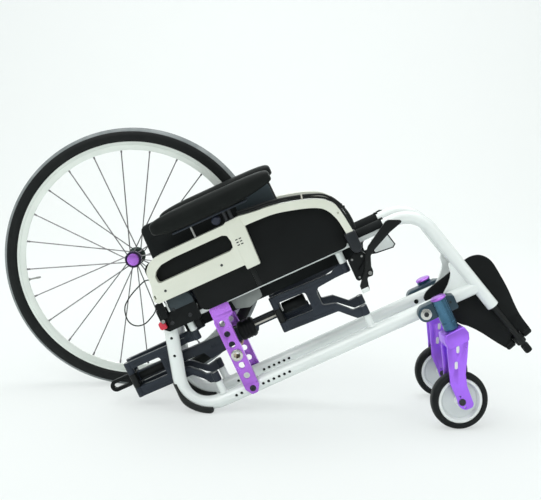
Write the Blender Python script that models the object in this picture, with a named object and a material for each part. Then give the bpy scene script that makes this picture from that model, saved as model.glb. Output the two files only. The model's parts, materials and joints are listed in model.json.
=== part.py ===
"""Active wheelchair, folded across its width, with the backrest laid forward and both rear wheels taken off.

It stands tipped back on its rear bumpers and front casters. One rear wheel stands upright beside it.
Chair space: X runs forward along the lower tube, Z up from its centre, Y from right to left.
Side space is chair space with Y replaced by the distance outboard of a side frame's own plane.
"""

import math

import bmesh
import bpy
from mathutils import Matrix, Vector

RIGHT = -1
LEFT = 1
SIDE_NAMES = {RIGHT: "right", LEFT: "left"}

GAP = 0.0003
BORE_CLEARANCE = 0.0004

# Folding geometry
SPINE_PIVOT_Y = 0.017
ARM_LENGTH = 0.1757
FOLDED_ANGLE = math.radians(10)
HALF_WIDTH = SPINE_PIVOT_Y + ARM_LENGTH * math.sin(FOLDED_ANGLE)
FRONT_LUG_X = 0.292
REAR_LUG_X = -0.0593

# Side frame
LOWER_TUBE_RADIUS = 0.015
SEAT_TUBE_RADIUS = 0.0135
SEAT_TUBE_Z = 0.2035
REAR_BEND_X = -0.0654
REAR_BEND_RADIUS = 0.069
UPRIGHT_LEAN = math.radians(15.8)
REAR_CORNER_RADIUS = 0.024
FRONT_CORNER_X = 0.4786
FRONT_BEND_RADIUS = 0.067
FRONT_LEAN = math.radians(14.4)
SLEEVE_END_Z = -0.053
LUG_RADIUS = 0.008
LOWER_LUG_TOP = 0.042
UPPER_LUG_BOTTOM = 0.165
PIN_RADIUS = 0.004
ARM_TIP_HEIGHT = 0.0205
TUBE_SIDES = 12

# Axle plate
AXLE_X = 0.0047
AXLE_Z = 0.081
AXLE_HOLES = (0.032, 0.057, 0.1065, 0.131, 0.156)
AXLE_HOLE_RADIUS = 0.0065
AXLE_SLEEVE_RADIUS = 0.010
AXLE_PLATE_THICKNESS = 0.0032

# Bumper
BUMPER_RADIUS = 0.0928
BUMPER_HALF_WIDTH = 0.012
BUMPER_START = math.radians(174.7)
BUMPER_END = math.radians(250)

# Front caster
CASTER_X = 0.4415
CASTER_OUT = 0.045
CASTER_HOUSING_RADIUS = 0.015
CASTER_HOUSING_TOP = 0.019
CASTER_HOUSING_BOTTOM = -0.047
CASTER_TRAIL = 0.0481
CASTER_AXLE_Z = -0.191
CASTER_WHEEL_RADIUS = 0.0608
CASTER_WHEEL_HALF_WIDTH = 0.014
CASTER_TYRE_DEPTH = 0.013
CASTER_CLAMP_X = 0.406
CASTER_SIDES = 30
NEAR_CASTER_SWIVEL = math.radians(8)
STEM_RADIUS = 0.007
FORK_WALL = 0.005

# Footrest
HANGER_RADIUS = 0.0085
HANGER_END_Z = -0.177
HANGER_INSIDE = 0.075
FOOTPLATE_HINGE_AHEAD = 0.024542
FOOTPLATE_HINGE_Z = -0.1495
FOOTPLATE_RAKE = math.radians(16.7)
FOOTPLATE_IN = 0.0205
FOOTPLATE_THICKNESS = 0.006
RIGHT_PLATE_LENGTH = 0.212
LEFT_PLATE_LENGTH = 0.131
HINGE_BLOCK_HALF = 0.011
HINGE_LENGTH = 0.033

# Armrest
ARMREST_OUT = 0.029
ARMREST_THICKNESS = 0.018
ARMREST_PIVOT_X = -0.103
ARMREST_PIVOT_Z = 0.216
ARMREST_TOP_Z = 0.348
PAD_START_X = -0.055
PAD_END_X = 0.230
PAD_BOTTOM_Z = 0.3775
PAD_TOP_Z = 0.4215
PAD_WIDTH = 0.053
PAD_PLATE = 0.003
PAD_END_LENGTH = 0.030
PAD_SQUARENESS = 0.55
GUARD_THICKNESS = 0.003
EYE_RADIUS = 0.0095

# Backrest
POST_RADIUS = 0.010
POST_IN = 0.009
BACK_PIVOT_X = -0.075
BACK_PIVOT_Z = 0.2285
KNUCKLE_PIN_RADIUS = 0.005
BACK_PANEL_START_X = -0.080
BACK_PANEL_END_X = 0.219
BACK_PANEL_THICKNESS = 0.006
BACK_PANEL_CROWN = 0.003
BRACKET_THICKNESS = 0.0072
BUTTON_HALF_GAP = 0.0011
BUTTON_REAR_X = -0.124

# Cloth panels, hinged inboard of the tubes that carry them
CLOTH_HINGE_Y = HALF_WIDTH - SPINE_PIVOT_Y
CLOTH_ANGLE = math.pi / 2 - FOLDED_ANGLE
CLOTH_GAP_SLOPE = math.tan(FOLDED_ANGLE)
SLING_HINGE_Z = 0.212
SLING_START_X = -0.079
SLING_END_X = 0.345
SLING_THICKNESS = 0.0016
SLING_FOLDS = (0.056, 0.084)
SEAT_PANELS = ("outer", "middle", "inner")
BACK_HINGE_Z = 0.2385

# Fold arms and spine
ARM_HALF_THICKNESS = 0.0055
ARM_BOTTOM_Z = 0.072
ARM_TOP_Z = 0.154
ARM_LOWER_BAR_TOP = 0.094
ARM_UPPER_BAR_BOTTOM = 0.138
ARM_UPRIGHT_START = 0.079
ARM_UPRIGHT_END = 0.1015
FRAME_KNUCKLE_RADIUS = 0.0085
SPINE_KNUCKLE_RADIUS = 0.008
REAR_ARM_KNEE = 0.033
REAR_ARM_OFFSET = 0.0168
SPINE_HALF_WIDTH = 0.008
SPINE_BLOCK_HALF = 0.0075
LOOP_WALL = 0.005
LOOP_LENGTH = 0.060669
LOOP_HEIGHTS = (0.100, 0.1265)

# Brake
BRAKE_INNER = 0.0142
BRAKE_OUTER = 0.030
BRAKE_PIVOT = (0.335, 0.1295)
BRAKE_PIN_RADIUS = 0.004
LEVER_THICKNESS = 0.006

# Rear wheel, standing beside the chair with its outer side turned to the chair
WHEEL_RADIUS = 0.304
TYRE_HALF_WIDTH = 0.0165
TYRE_SEAT_RADIUS = 0.273
TYRE_SHOULDER_DROP = 0.0094
TYRE_TREAD_HALF = 0.0065
RIM_INNER_RADIUS = 0.251
RIM_HALF_WIDTH = 0.011
WHEEL_BEHIND_CHAIR = 0.283
PAD_TO_TYRE = 0.003
WHEEL_SIDES = 54
SPOKE_COUNT = 24
SPOKE_RADIUS = 0.001
NEAR_FLANGE_RADIUS = 0.019
FAR_FLANGE_RADIUS = 0.025
NEAR_FLANGE_Y = -0.016
FAR_FLANGE_Y = 0.029
SPOKE_CROSSING = math.radians(22)
WHEEL_AXLE_RADIUS = 0.00635
WHEEL_AXLE_END = 0.080
CAP_RADIUS = 0.0145

RELEASE_CORD_RADIUS = 0.0014
BRAKE_CABLE_RADIUS = 0.0026

# Values that follow from the ones above
FRONT_WAY = Vector((math.sin(FRONT_LEAN), 0, -math.cos(FRONT_LEAN)))
SLEEVE_END = (
    FRONT_CORNER_X + (SEAT_TUBE_Z - SLEEVE_END_Z) * math.tan(FRONT_LEAN),
    SLEEVE_END_Z,
)
FOOTPLATE_HINGE_X = SLEEVE_END[0] + FOOTPLATE_HINGE_AHEAD
CASTER_CENTRE = (CASTER_X - CASTER_TRAIL, CASTER_AXLE_Z)
SPINE_FRONT_X = FRONT_LUG_X - ARM_LENGTH * math.cos(FOLDED_ANGLE)
SPINE_REAR_X = REAR_LUG_X - ARM_LENGTH * math.cos(FOLDED_ANGLE)
LOOP_REAR_X = SPINE_REAR_X - LOOP_LENGTH
HALF_CLOTH = ARM_LENGTH
BRACKET_OUT = max(LOWER_TUBE_RADIUS, SEAT_TUBE_RADIUS) + GAP
BRACKET_FACE = BRACKET_OUT + BRACKET_THICKNESS
PLATE_OUTER = BRACKET_OUT + AXLE_PLATE_THICKNESS
ARMREST_IN = ARMREST_OUT - ARMREST_THICKNESS / 2
PIN_BORE = PIN_RADIUS + BORE_CLEARANCE
BUMPER_CENTRE = (REAR_BEND_X, REAR_BEND_RADIUS)


def ground_tilt():
    """The angle that lays the common tangent of bumper and caster wheel on the floor."""
    run = CASTER_CENTRE[0] - BUMPER_CENTRE[0]
    fall = BUMPER_CENTRE[1] - CASTER_CENTRE[1]
    across = math.hypot(run, fall)
    return math.atan2(fall, run) - math.asin((BUMPER_RADIUS - CASTER_WHEEL_RADIUS) / across)


TILT = ground_tilt()
CHAIR_HEIGHT = (
    BUMPER_RADIUS
    - BUMPER_CENTRE[0] * math.sin(TILT)
    - BUMPER_CENTRE[1] * math.cos(TILT)
)

ORIGINS = {}


def finish(name, colour, roughness, metallic=0.0):
    material = bpy.data.materials.new(name)
    material.use_nodes = True
    shader = material.node_tree.nodes["Principled BSDF"]
    shader.inputs["Base Color"].default_value = (*colour, 1.0)
    shader.inputs["Roughness"].default_value = roughness
    shader.inputs["Metallic"].default_value = metallic
    return material


def empty(name, parent, place=(0, 0, 0), turn=(0, 0, 0)):
    """An empty at a point of chair space, turned about its own axes, on which pieces are mounted."""
    made = bpy.data.objects.new(name, None)
    bpy.context.scene.collection.objects.link(made)
    made.empty_display_size = 0.02
    made.parent = parent
    base = ORIGINS.get(parent.name, Vector()) if parent else Vector()
    made.location = Vector(place) - base
    made.rotation_euler = turn
    ORIGINS[made.name] = Vector(place)
    return made


def side_place(side, x, out, z):
    return Vector((x, side * (HALF_WIDTH + out), z))


def arc(centre, radius, start, end, steps):
    """Points in the XZ plane on a round stretch, with angles measured from X towards Z."""
    points = []
    for index in range(steps + 1):
        angle = start + (end - start) * index / steps
        points.append((centre[0] + radius * math.cos(angle), centre[1] + radius * math.sin(angle)))
    return points


def prism(outline, low, high):
    """A closed solid with an outline in the XZ plane, running along Y from low to high."""
    shape = bmesh.new()
    corners = [shape.verts.new((x, low, z)) for x, z in outline]
    face = shape.faces.new(corners)
    pushed = bmesh.ops.extrude_face_region(shape, geom=[face])
    moved = [item for item in pushed["geom"] if isinstance(item, bmesh.types.BMVert)]
    bmesh.ops.translate(shape, verts=moved, vec=(0, high - low, 0))
    return shape


def block(low, high):
    shape = bmesh.new()
    size = [b - a for a, b in zip(low, high)]
    middle = [(a + b) / 2 for a, b in zip(low, high)]
    placing = Matrix.Translation(middle) @ Matrix.Diagonal((*size, 1))
    bmesh.ops.create_cube(shape, size=1, matrix=placing)
    return shape


def sweep(points, radius, sides=TUBE_SIDES):
    """A round tube with flat ends along a line of points."""
    shape = bmesh.new()
    places = [Vector(point) for point in points]
    ways = []
    for index, place in enumerate(places):
        before = places[max(index - 1, 0)]
        after = places[min(index + 1, len(places) - 1)]
        ways.append((after - before).normalized())
    across = ways[0].orthogonal().normalized()
    rings = []
    for place, way in zip(places, ways):
        across = (across - way * across.dot(way)).normalized()
        other = way.cross(across)
        ring = []
        for index in range(sides):
            angle = 2 * math.pi * index / sides
            outward = across * math.cos(angle) + other * math.sin(angle)
            ring.append(shape.verts.new(place + outward * radius))
        rings.append(ring)
    for first, second in zip(rings, rings[1:]):
        for index in range(sides):
            after = (index + 1) % sides
            shape.faces.new((first[index], first[after], second[after], second[index]))
    shape.faces.new(rings[0])
    shape.faces.new(rings[-1])
    return shape


def rod(start, end, radius, sides=TUBE_SIDES):
    return sweep([start, end], radius, sides)


def turned(profile, centre, sides):
    """A ring turned about an axis along Y. The profile lists (distance from the axis, place along Y)."""
    shape = bmesh.new()
    rings = []
    for radius, along in profile:
        ring = []
        for index in range(sides):
            angle = 2 * math.pi * index / sides - math.pi / 2
            x = centre[0] + radius * math.cos(angle)
            z = centre[2] + radius * math.sin(angle)
            ring.append(shape.verts.new((x, centre[1] + along, z)))
        rings.append(ring)
    for first, second in zip(rings, rings[1:] + rings[:1]):
        for index in range(sides):
            after = (index + 1) % sides
            shape.faces.new((first[index], first[after], second[after], second[index]))
    return shape


def merged(shapes):
    """Several solids that don't touch, as one set of faces."""
    whole = bmesh.new()
    for shape in shapes:
        known = {}
        for vert in shape.verts:
            known[vert] = whole.verts.new(vert.co)
        for face in shape.faces:
            whole.faces.new([known[vert] for vert in face.verts])
        shape.free()
    return whole


def settle(shape, mapping):
    for vert in shape.verts:
        vert.co = mapping(vert.co)
    shape.normal_update()
    bmesh.ops.recalc_face_normals(shape, faces=shape.faces)


def mesh_object(name, shape, parent, material):
    mesh = bpy.data.meshes.new(name)
    shape.to_mesh(mesh)
    shape.free()
    made = bpy.data.objects.new(name, mesh)
    bpy.context.scene.collection.objects.link(made)
    made.parent = parent
    if material:
        mesh.materials.append(material)
        mesh.shade_smooth()
        mesh.set_sharp_from_angle(angle=math.radians(35))
    return made


def node(name, parent, material, base, add=(), cut=(), place=None):
    """A finished sub-part: a base shape with others joined to it and others cut from it."""
    settle(base, place)
    made = mesh_object(name, base, parent, material)
    for label, shapes, operation in (("join", add, "UNION"), ("cut", cut, "DIFFERENCE")):
        for index, shape in enumerate(shapes):
            settle(shape, place)
            tool = mesh_object(f"{name}_{label}_{index}", shape, parent, None)
            tool.hide_render = True
            tool.display_type = "WIRE"
            step = made.modifiers.new(f"{label} {index}", "BOOLEAN")
            step.object = tool
            step.operation = operation
            step.solver = "EXACT"
    return made


def on_side(side, origin):
    """Side space to the space of the empty that carries the piece."""
    def mapping(point):
        return side_place(side, point.x, point.y, point.z) - origin
    return mapping


def shifted(origin):
    """Parent space to the space of an empty that isn't turned against it."""
    def mapping(point):
        return point - origin
    return mapping


def mirrored(side):
    """Local space, with Y inboard, to the space of the empty on that side."""
    def mapping(point):
        return Vector((point.x, -side * point.y, point.z))
    return mapping


def side_node(side, name, parent, material, base, add=(), cut=()):
    title = f"{SIDE_NAMES[side]}_{name}"
    return node(title, parent, material, base, add, cut, on_side(side, ORIGINS[parent.name]))


def in_plane(points, out=0.0):
    return [(x, out, z) for x, z in points]


def rear_tube_path():
    """Lower tube, rear bend, leaning upright and the small corner under the backrest."""
    start_x = FRONT_CORNER_X + SEAT_TUBE_Z * math.tan(FRONT_LEAN)
    bend = arc(BUMPER_CENTRE, REAR_BEND_RADIUS, -math.pi / 2, -math.pi - UPRIGHT_LEAN, 10)
    top = bend[-1]
    rise = (SEAT_TUBE_Z - top[1]) / math.cos(UPRIGHT_LEAN)
    corner_x = top[0] + rise * math.sin(UPRIGHT_LEAN)
    turn = math.pi / 2 - UPRIGHT_LEAN
    reach = REAR_CORNER_RADIUS * math.tan(turn / 2)
    centre = (corner_x + reach, SEAT_TUBE_Z - REAR_CORNER_RADIUS)
    corner = arc(centre, REAR_CORNER_RADIUS, math.pi - UPRIGHT_LEAN, math.pi / 2, 5)
    return [(start_x, 0.0)] + bend + corner


def front_tube_path():
    """Seat tube, front bend and the front tube that ends in the footrest sleeve."""
    turn = math.pi / 2 - FRONT_LEAN
    reach = FRONT_BEND_RADIUS * math.tan(turn / 2)
    centre = (FRONT_CORNER_X - reach, SEAT_TUBE_Z - FRONT_BEND_RADIUS)
    bend = arc(centre, FRONT_BEND_RADIUS, math.pi / 2, FRONT_LEAN, 7)
    return [(REAR_LUG_X - 0.030, SEAT_TUBE_Z)] + bend + [SLEEVE_END]


def along_hanger(distance):
    """A point on the footrest tube's axis, measured down from the sleeve's end."""
    return (SLEEVE_END[0] + FRONT_WAY.x * distance, 0.0, SLEEVE_END[1] + FRONT_WAY.z * distance)


def side_frame(side, parent, white):
    joins = [sweep(in_plane(front_tube_path()), SEAT_TUBE_RADIUS)]
    gusset = [(-0.0286, 0.008), (-0.0036, 0.028), (0.0064, 0.0395), (0.0124, 0.049), (0.0154, 0.072)]
    gusset += [(0.0334, 0.072), (0.0519, 0.0)]
    joins.append(prism([(FRONT_CORNER_X + x, z) for x, z in gusset], -0.004, 0.004))
    lugs = []
    for x in (FRONT_LUG_X, REAR_LUG_X):
        lugs.append(rod((x, 0, 0.006), (x, 0, LOWER_LUG_TOP), LUG_RADIUS, 12))
        lugs.append(rod((x, 0, UPPER_LUG_BOTTOM), (x, 0, SEAT_TUBE_Z - 0.006), LUG_RADIUS, 12))
    joins.append(merged(lugs))
    pins = []
    for x in (FRONT_LUG_X, REAR_LUG_X):
        for lug_end, way in ((LOWER_LUG_TOP, 1), (UPPER_LUG_BOTTOM, -1)):
            root = (x, 0, lug_end - way * 0.006)
            pins.append(rod(root, (x, 0, lug_end + way * ARM_TIP_HEIGHT), PIN_RADIUS, 10))
    joins.append(merged(pins))
    bore = rod(along_hanger(-HANGER_INSIDE - GAP), along_hanger(0.01), HANGER_RADIUS + GAP, 12)
    main = sweep(in_plane(rear_tube_path()), LOWER_TUBE_RADIUS)
    side_node(side, "side_frame", parent, white, main, joins, [bore])


def bumper(side, parent, rubber):
    """A rubber strip round the outside of the rear bend, thicker where it meets the floor."""
    inner = LOWER_TUBE_RADIUS + REAR_BEND_RADIUS + GAP
    thin = inner + 0.004
    steps = 12
    outline = arc(BUMPER_CENTRE, inner, BUMPER_START, BUMPER_END, steps)
    for index in range(steps, -1, -1):
        share = index / steps
        radius = thin + (BUMPER_RADIUS - thin) * min(1.0, max(0.0, (share - 0.15) / 0.35))
        angle = BUMPER_START + (BUMPER_END - BUMPER_START) * share
        x = BUMPER_CENTRE[0] + radius * math.cos(angle)
        z = BUMPER_CENTRE[1] + radius * math.sin(angle)
        outline.append((x, z))
    side_node(side, "bumper", parent, rubber, prism(outline, -BUMPER_HALF_WIDTH, BUMPER_HALF_WIDTH))


def axle_plate(side, parent, purple):
    outline = [(-0.002, -0.011), (0.012, -0.011), (0.021, 0.004), (0.021, 0.163)]
    outline += [(0.036, 0.168), (0.036, 0.196), (-0.009, 0.196), (-0.009, 0.168)]
    outline += [(-0.011, 0.163), (-0.011, 0.004)]
    flanges = [
        block((-0.011, BRACKET_OUT - 0.008, 0.020), (-0.0085, BRACKET_OUT + 0.001, 0.160)),
        block((0.0185, BRACKET_OUT - 0.008, 0.020), (0.021, BRACKET_OUT + 0.001, 0.160)),
    ]
    holes = [rod((AXLE_X, 0.01, z), (AXLE_X, 0.03, z), AXLE_HOLE_RADIUS, 10) for z in AXLE_HOLES]
    holes.append(rod((AXLE_X, 0.01, AXLE_Z), (AXLE_X, 0.03, AXLE_Z), AXLE_SLEEVE_RADIUS + GAP, 14))
    bolts = []
    for x, z in ((0.005, 0.001), (0.014, 0.186)):
        bolts.append(rod((x, PLATE_OUTER - 0.001, z), (x, PLATE_OUTER + 0.004, z), 0.0055, 6))
    plate = prism(outline, BRACKET_OUT, PLATE_OUTER)
    joins = [merged(flanges), merged(bolts)]
    side_node(side, "axle_plate", parent, purple, plate, joins, [merged(holes)])


def axle_sleeve(side, parent, steel):
    """Receiver tube for the rear wheel's axle, with its outer nut."""
    profile = [
        (0.0066, -0.012), (AXLE_SLEEVE_RADIUS, -0.012), (AXLE_SLEEVE_RADIUS, PLATE_OUTER + GAP),
        (0.013, PLATE_OUTER + GAP), (0.013, PLATE_OUTER + 0.004), (0.0066, PLATE_OUTER + 0.004),
    ]
    side_node(side, "axle_sleeve", parent, steel, turned(profile, (AXLE_X, 0, AXLE_Z), 14))


def caster_housing(side, parent, slate):
    """Clamp on the lower tube with its bolt, the upright housing of the caster stem and the housing's cap."""
    inner = LOWER_TUBE_RADIUS + GAP
    clamp = arc((CASTER_CLAMP_X, 0), 0.017, math.radians(98), math.radians(262), 8)
    clamp += [(0.474, -0.015), (0.474, 0.014), (0.462, 0.0185)]
    arm = prism(clamp, inner, CASTER_OUT - 0.006)
    barrel = rod(
        (CASTER_X, CASTER_OUT, CASTER_HOUSING_BOTTOM), (CASTER_X, CASTER_OUT, CASTER_HOUSING_TOP),
        CASTER_HOUSING_RADIUS, 16,
    )
    stem_bore = rod(
        (CASTER_X, CASTER_OUT, CASTER_HOUSING_BOTTOM - 0.01), (CASTER_X, CASTER_OUT, CASTER_HOUSING_TOP - 0.008),
        STEM_RADIUS + BORE_CLEARANCE, 12,
    )
    top = CASTER_HOUSING_TOP
    cap = rod((CASTER_X, CASTER_OUT, top - 0.001), (CASTER_X, CASTER_OUT, top + 0.008), 0.0135, 14)
    bolt = rod((CASTER_CLAMP_X, CASTER_OUT - 0.008, 0), (CASTER_CLAMP_X, CASTER_OUT - 0.002, 0), 0.0134, 14)
    side_node(side, "caster_housing", parent, slate, barrel, [arm, merged([bolt, cap])], [stem_bore])


def caster_fork(side, parent, purple):
    """Stem, crown, two legs and the wheel axle."""
    crown_top = CASTER_HOUSING_BOTTOM - 0.001
    leg_gap = CASTER_WHEEL_HALF_WIDTH + 0.003
    leg = [(0.414, -0.066), (0.466, -0.066), (0.442, -0.110), (0.424, -0.141), (0.417, -0.164)]
    leg += [(0.414, -0.206), (0.408, -0.211), (0.393, -0.2095), (0.384, -0.199), (0.386, -0.176)]
    leg += [(0.386, -0.144), (0.395, -0.121)]
    pieces = []
    for low in (CASTER_OUT - leg_gap - FORK_WALL, CASTER_OUT + leg_gap):
        pieces.append(prism(leg, low, low + FORK_WALL))
    crown = [(0.4165, crown_top), (0.462, crown_top), (0.4665, -0.064)]
    crown += [(0.461, -0.080), (0.414, -0.080), (0.412, -0.064)]
    reach = leg_gap + FORK_WALL + 0.001
    middle = prism(crown, CASTER_OUT - reach, CASTER_OUT + reach)
    top = CASTER_HOUSING_TOP - 0.012
    stem = rod((CASTER_X, CASTER_OUT, crown_top - 0.006), (CASTER_X, CASTER_OUT, top), STEM_RADIUS, 12)
    reach = leg_gap + FORK_WALL + 0.003
    x, z = CASTER_CENTRE
    axle = rod((x, CASTER_OUT - reach, z), (x, CASTER_OUT + reach, z), PIN_RADIUS, 10)
    side_node(side, "caster_fork", parent, purple, middle, [merged(pieces), stem, axle])


def caster_wheel(side, parent, rubber, alloy):
    inner = CASTER_WHEEL_RADIUS - CASTER_TYRE_DEPTH
    half = CASTER_WHEEL_HALF_WIDTH
    tyre = [
        (inner, -half + 0.002), (CASTER_WHEEL_RADIUS - 0.006, -half),
        (CASTER_WHEEL_RADIUS, -half + 0.006), (CASTER_WHEEL_RADIUS, half - 0.006),
        (CASTER_WHEEL_RADIUS - 0.006, half), (inner, half - 0.002),
    ]
    centre = (CASTER_CENTRE[0], CASTER_OUT, CASTER_AXLE_Z)
    side_node(side, "caster_tyre", parent, rubber, turned(tyre, centre, CASTER_SIDES))
    rim_edge = inner - GAP
    rim = [
        (PIN_BORE, -0.0155), (0.011, -0.0155), (0.013, -0.004), (rim_edge - 0.008, -0.004),
        (rim_edge, -0.011), (rim_edge, 0.011), (rim_edge - 0.008, 0.004), (0.013, 0.004),
        (0.011, 0.0155), (PIN_BORE, 0.0155),
    ]
    side_node(side, "caster_rim", parent, alloy, turned(rim, centre, CASTER_SIDES))


def footplate_point(along, up):
    """Footplate space to side space: along its hinge and up from it."""
    x = FOOTPLATE_HINGE_X + along * math.cos(FOOTPLATE_RAKE) - up * math.sin(FOOTPLATE_RAKE)
    z = FOOTPLATE_HINGE_Z + along * math.sin(FOOTPLATE_RAKE) + up * math.cos(FOOTPLATE_RAKE)
    return (x, z)


def footplate_axis_point(along, inboard=FOOTPLATE_IN):
    x, z = footplate_point(along, 0)
    return (x, -inboard, z)


def hanger(side, parent, black):
    length = (SLEEVE_END_Z - HANGER_END_Z) / math.cos(FRONT_LEAN)
    tube = rod(along_hanger(-HANGER_INSIDE), along_hanger(length), HANGER_RADIUS, 12)
    wide = HINGE_BLOCK_HALF
    corners = [(-wide, -0.009), (wide, -0.009), (wide, 0.009), (-wide, 0.009)]
    lug = prism([footplate_point(*corner) for corner in corners], -FOOTPLATE_IN - 0.009, 0.002)
    pin = rod(footplate_axis_point(-HINGE_LENGTH), footplate_axis_point(HINGE_LENGTH), PIN_RADIUS, 10)
    side_node(side, "footrest_hanger", parent, black, tube, [lug, pin])


def footplate(side, parent, black):
    length = RIGHT_PLATE_LENGTH if side == RIGHT else LEFT_PLATE_LENGTH
    notch = HINGE_BLOCK_HALF + 0.0005
    root = 0.013
    outline = [(notch, root), (notch, 0.001), (0.0335, 0.001), (0.0569, 0.0945), (0.0665, 0.1475)]
    outline += [(0.0588, 0.1977), (0.0444, 0.2102), (-0.0694, 0.212), (-0.0916, 0.2105)]
    outline += [(-0.1013, 0.2015), (-0.0743, 0.1186), (-0.0598, 0.0926), (-0.0501, 0.0675)]
    outline += [(-0.0415, 0.0347), (-0.0328, 0.001), (-notch, 0.001), (-notch, root)]
    taller = (length - root) / (RIGHT_PLATE_LENGTH - root)
    wider = 0.45 + 0.55 * length / RIGHT_PLATE_LENGTH
    drawn = []
    for along, up in outline:
        if up > root:
            drawn.append(footplate_point(along * wider, root + (up - root) * taller))
        else:
            drawn.append(footplate_point(along, up))
    half = FOOTPLATE_THICKNESS / 2
    plate = prism(drawn, -FOOTPLATE_IN - half, -FOOTPLATE_IN + half)
    knuckles = []
    for start, end in ((-HINGE_LENGTH, -notch), (notch, HINGE_LENGTH)):
        knuckles.append(rod(footplate_axis_point(start), footplate_axis_point(end), 0.0075, 10))
    bore = rod(footplate_axis_point(-0.06), footplate_axis_point(0.06), PIN_BORE, 10)
    side_node(side, "footplate", parent, black, plate, [merged(knuckles)], [bore])


def armrest_frame(side, parent, white):
    """White frame plate with its window and front opening, the pad posts, the pad plate and the pivot eye."""
    low = ARMREST_IN
    high = ARMREST_IN + ARMREST_THICKNESS
    outer = [(-0.105, 0.251), (-0.105, 0.328)] + arc((-0.083, 0.326), 0.022, math.pi, math.pi / 2, 4)[1:]
    outer += [(0.132, ARMREST_TOP_Z), (0.225, 0.336), (0.292, 0.317), (0.330, 0.280), (0.341, 0.2245)]
    outer += [(0.321, 0.2245), (0.311, 0.270), (0.279, 0.299), (0.220, 0.314), (0.132, 0.324)]
    outer += [(0.132, 0.256), (-0.088, 0.256), (-0.088, 0.251)]
    window = block((-0.089, low - 0.01, 0.293), (0.094, high + 0.01, 0.3285))
    eye_low = BRACKET_FACE + GAP
    socket = block((-0.105, eye_low, 0.216), (-0.088, high - 0.001, 0.254))
    x = ARMREST_PIVOT_X
    z = ARMREST_PIVOT_Z
    eye = rod((x, eye_low + 0.0001, z), (x, high - 0.0012, z), EYE_RADIUS, 14)
    middle = ARMREST_OUT
    under = PAD_BOTTOM_Z - GAP
    post_top = under - PAD_PLATE / 2
    post = rod((0.113, middle, 0.300), (0.113, middle, post_top), 0.007, 12)
    thin = rod((0.0345, middle, 0.340), (0.0345, middle, post_top), 0.0035, 8)
    plate = block((-0.005, middle - 0.014, under - PAD_PLATE), (0.190, middle + 0.014, under))
    bore = rod((x, 0, z), (x, 0.05, z), PIN_BORE, 10)
    base = prism(outer, low, high)
    joins = [merged([post, thin]), plate, socket, eye]
    side_node(side, "armrest_frame", parent, white, base, joins, [window, bore])


def armrest_guard(side, parent, black):
    """Thin panel behind the armrest frame, seen through its window and front opening."""
    outline = [(-0.096, 0.260), (-0.096, 0.330), (-0.085, 0.340), (0.132, 0.340), (0.222, 0.328)]
    outline += [(0.285, 0.308), (0.317, 0.274), (0.3255, 0.2245), (0.3172, 0.2245), (0.3172, 0.196)]
    outline += [(-0.022, 0.196), (-0.022, 0.260)]
    high = ARMREST_IN - GAP
    side_node(side, "armrest_guard", parent, black, prism(outline, high - GUARD_THICKNESS, high))


def armrest_pad(side, parent, black):
    """Crowned arm pad with rounded ends, flat underneath."""
    shape = bmesh.new()
    length = PAD_END_X - PAD_START_X
    height = PAD_TOP_Z - PAD_BOTTOM_Z
    half = PAD_WIDTH / 2
    stations = 12
    ring_points = 12
    rings = []
    for index in range(stations + 1):
        share = index / stations
        x = PAD_START_X + length * share
        end = min(share, 1 - share) * length
        rounding = math.sqrt(1 - max(0.0, 1 - end / PAD_END_LENGTH) ** 2)
        draw = 0.55 + 0.45 * rounding
        lift = height * (0.42 + 0.58 * rounding)
        ring = []
        for step in range(ring_points):
            angle = 2 * math.pi * (step + 0.5) / ring_points
            across = math.copysign(abs(math.cos(angle)) ** PAD_SQUARENESS, math.cos(angle))
            up = math.copysign(abs(math.sin(angle)) ** PAD_SQUARENESS, math.sin(angle))
            z = PAD_BOTTOM_Z + lift / 2 * (1 + up)
            ring.append(shape.verts.new((x, ARMREST_OUT + across * half * draw, z)))
        rings.append(ring)
    for first, second in zip(rings, rings[1:]):
        for step in range(ring_points):
            after = (step + 1) % ring_points
            shape.faces.new((first[step], first[after], second[after], second[step]))
    shape.faces.new(rings[0])
    shape.faces.new(rings[-1])
    side_node(side, "armrest_pad", parent, black, shape)


def armrest_socket(side, parent, slate):
    inner = SEAT_TUBE_RADIUS + GAP
    outline = [(0.318, 0.178), (0.350, 0.178), (0.350, 0.224), (0.318, 0.224)]
    side_node(side, "armrest_socket", parent, slate, prism(outline, inner, ARMREST_OUT + 0.0115))


def back_bracket(side, parent, black):
    """Cheek on the frame's rear corner with the backrest pin, the armrest pin and a pocket for the button."""
    outline = [(-0.112, 0.196), (-0.103, 0.188), (-0.030, 0.188), (-0.027, 0.192), (-0.027, 0.236)]
    outline += [(-0.031, 0.240), (-0.112, 0.240)]
    cheek = prism(outline, BRACKET_OUT, BRACKET_FACE)
    x = BACK_PIVOT_X
    z = BACK_PIVOT_Z
    back_pin = rod((x, -POST_IN, z), (x, BRACKET_OUT + 0.003, z), KNUCKLE_PIN_RADIUS, 12)
    x = ARMREST_PIVOT_X
    z = ARMREST_PIVOT_Z
    arm_pin = rod((x, BRACKET_OUT + 0.003, z), (x, ARMREST_OUT + 0.009, z), PIN_RADIUS, 10)
    low = BRACKET_OUT + BUTTON_HALF_GAP
    high = BRACKET_FACE - BUTTON_HALF_GAP
    pocket = block((-0.120, low, 0.1928), (-0.1055, high, 0.2072))
    side_node(side, "backrest_bracket", parent, black, cheek, [merged([back_pin, arm_pin])], [pocket])


def release_button(side, parent, red):
    low = BRACKET_OUT + BUTTON_HALF_GAP + GAP
    high = BRACKET_FACE - BUTTON_HALF_GAP - GAP
    outline = [(BUTTON_REAR_X, 0.1955), (-0.121, 0.1931), (-0.1105, 0.1931)]
    outline += [(-0.1105, 0.2069), (-0.121, 0.2069), (BUTTON_REAR_X, 0.2045)]
    side_node(side, "release_button", parent, red, prism(outline, low, high))


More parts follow.
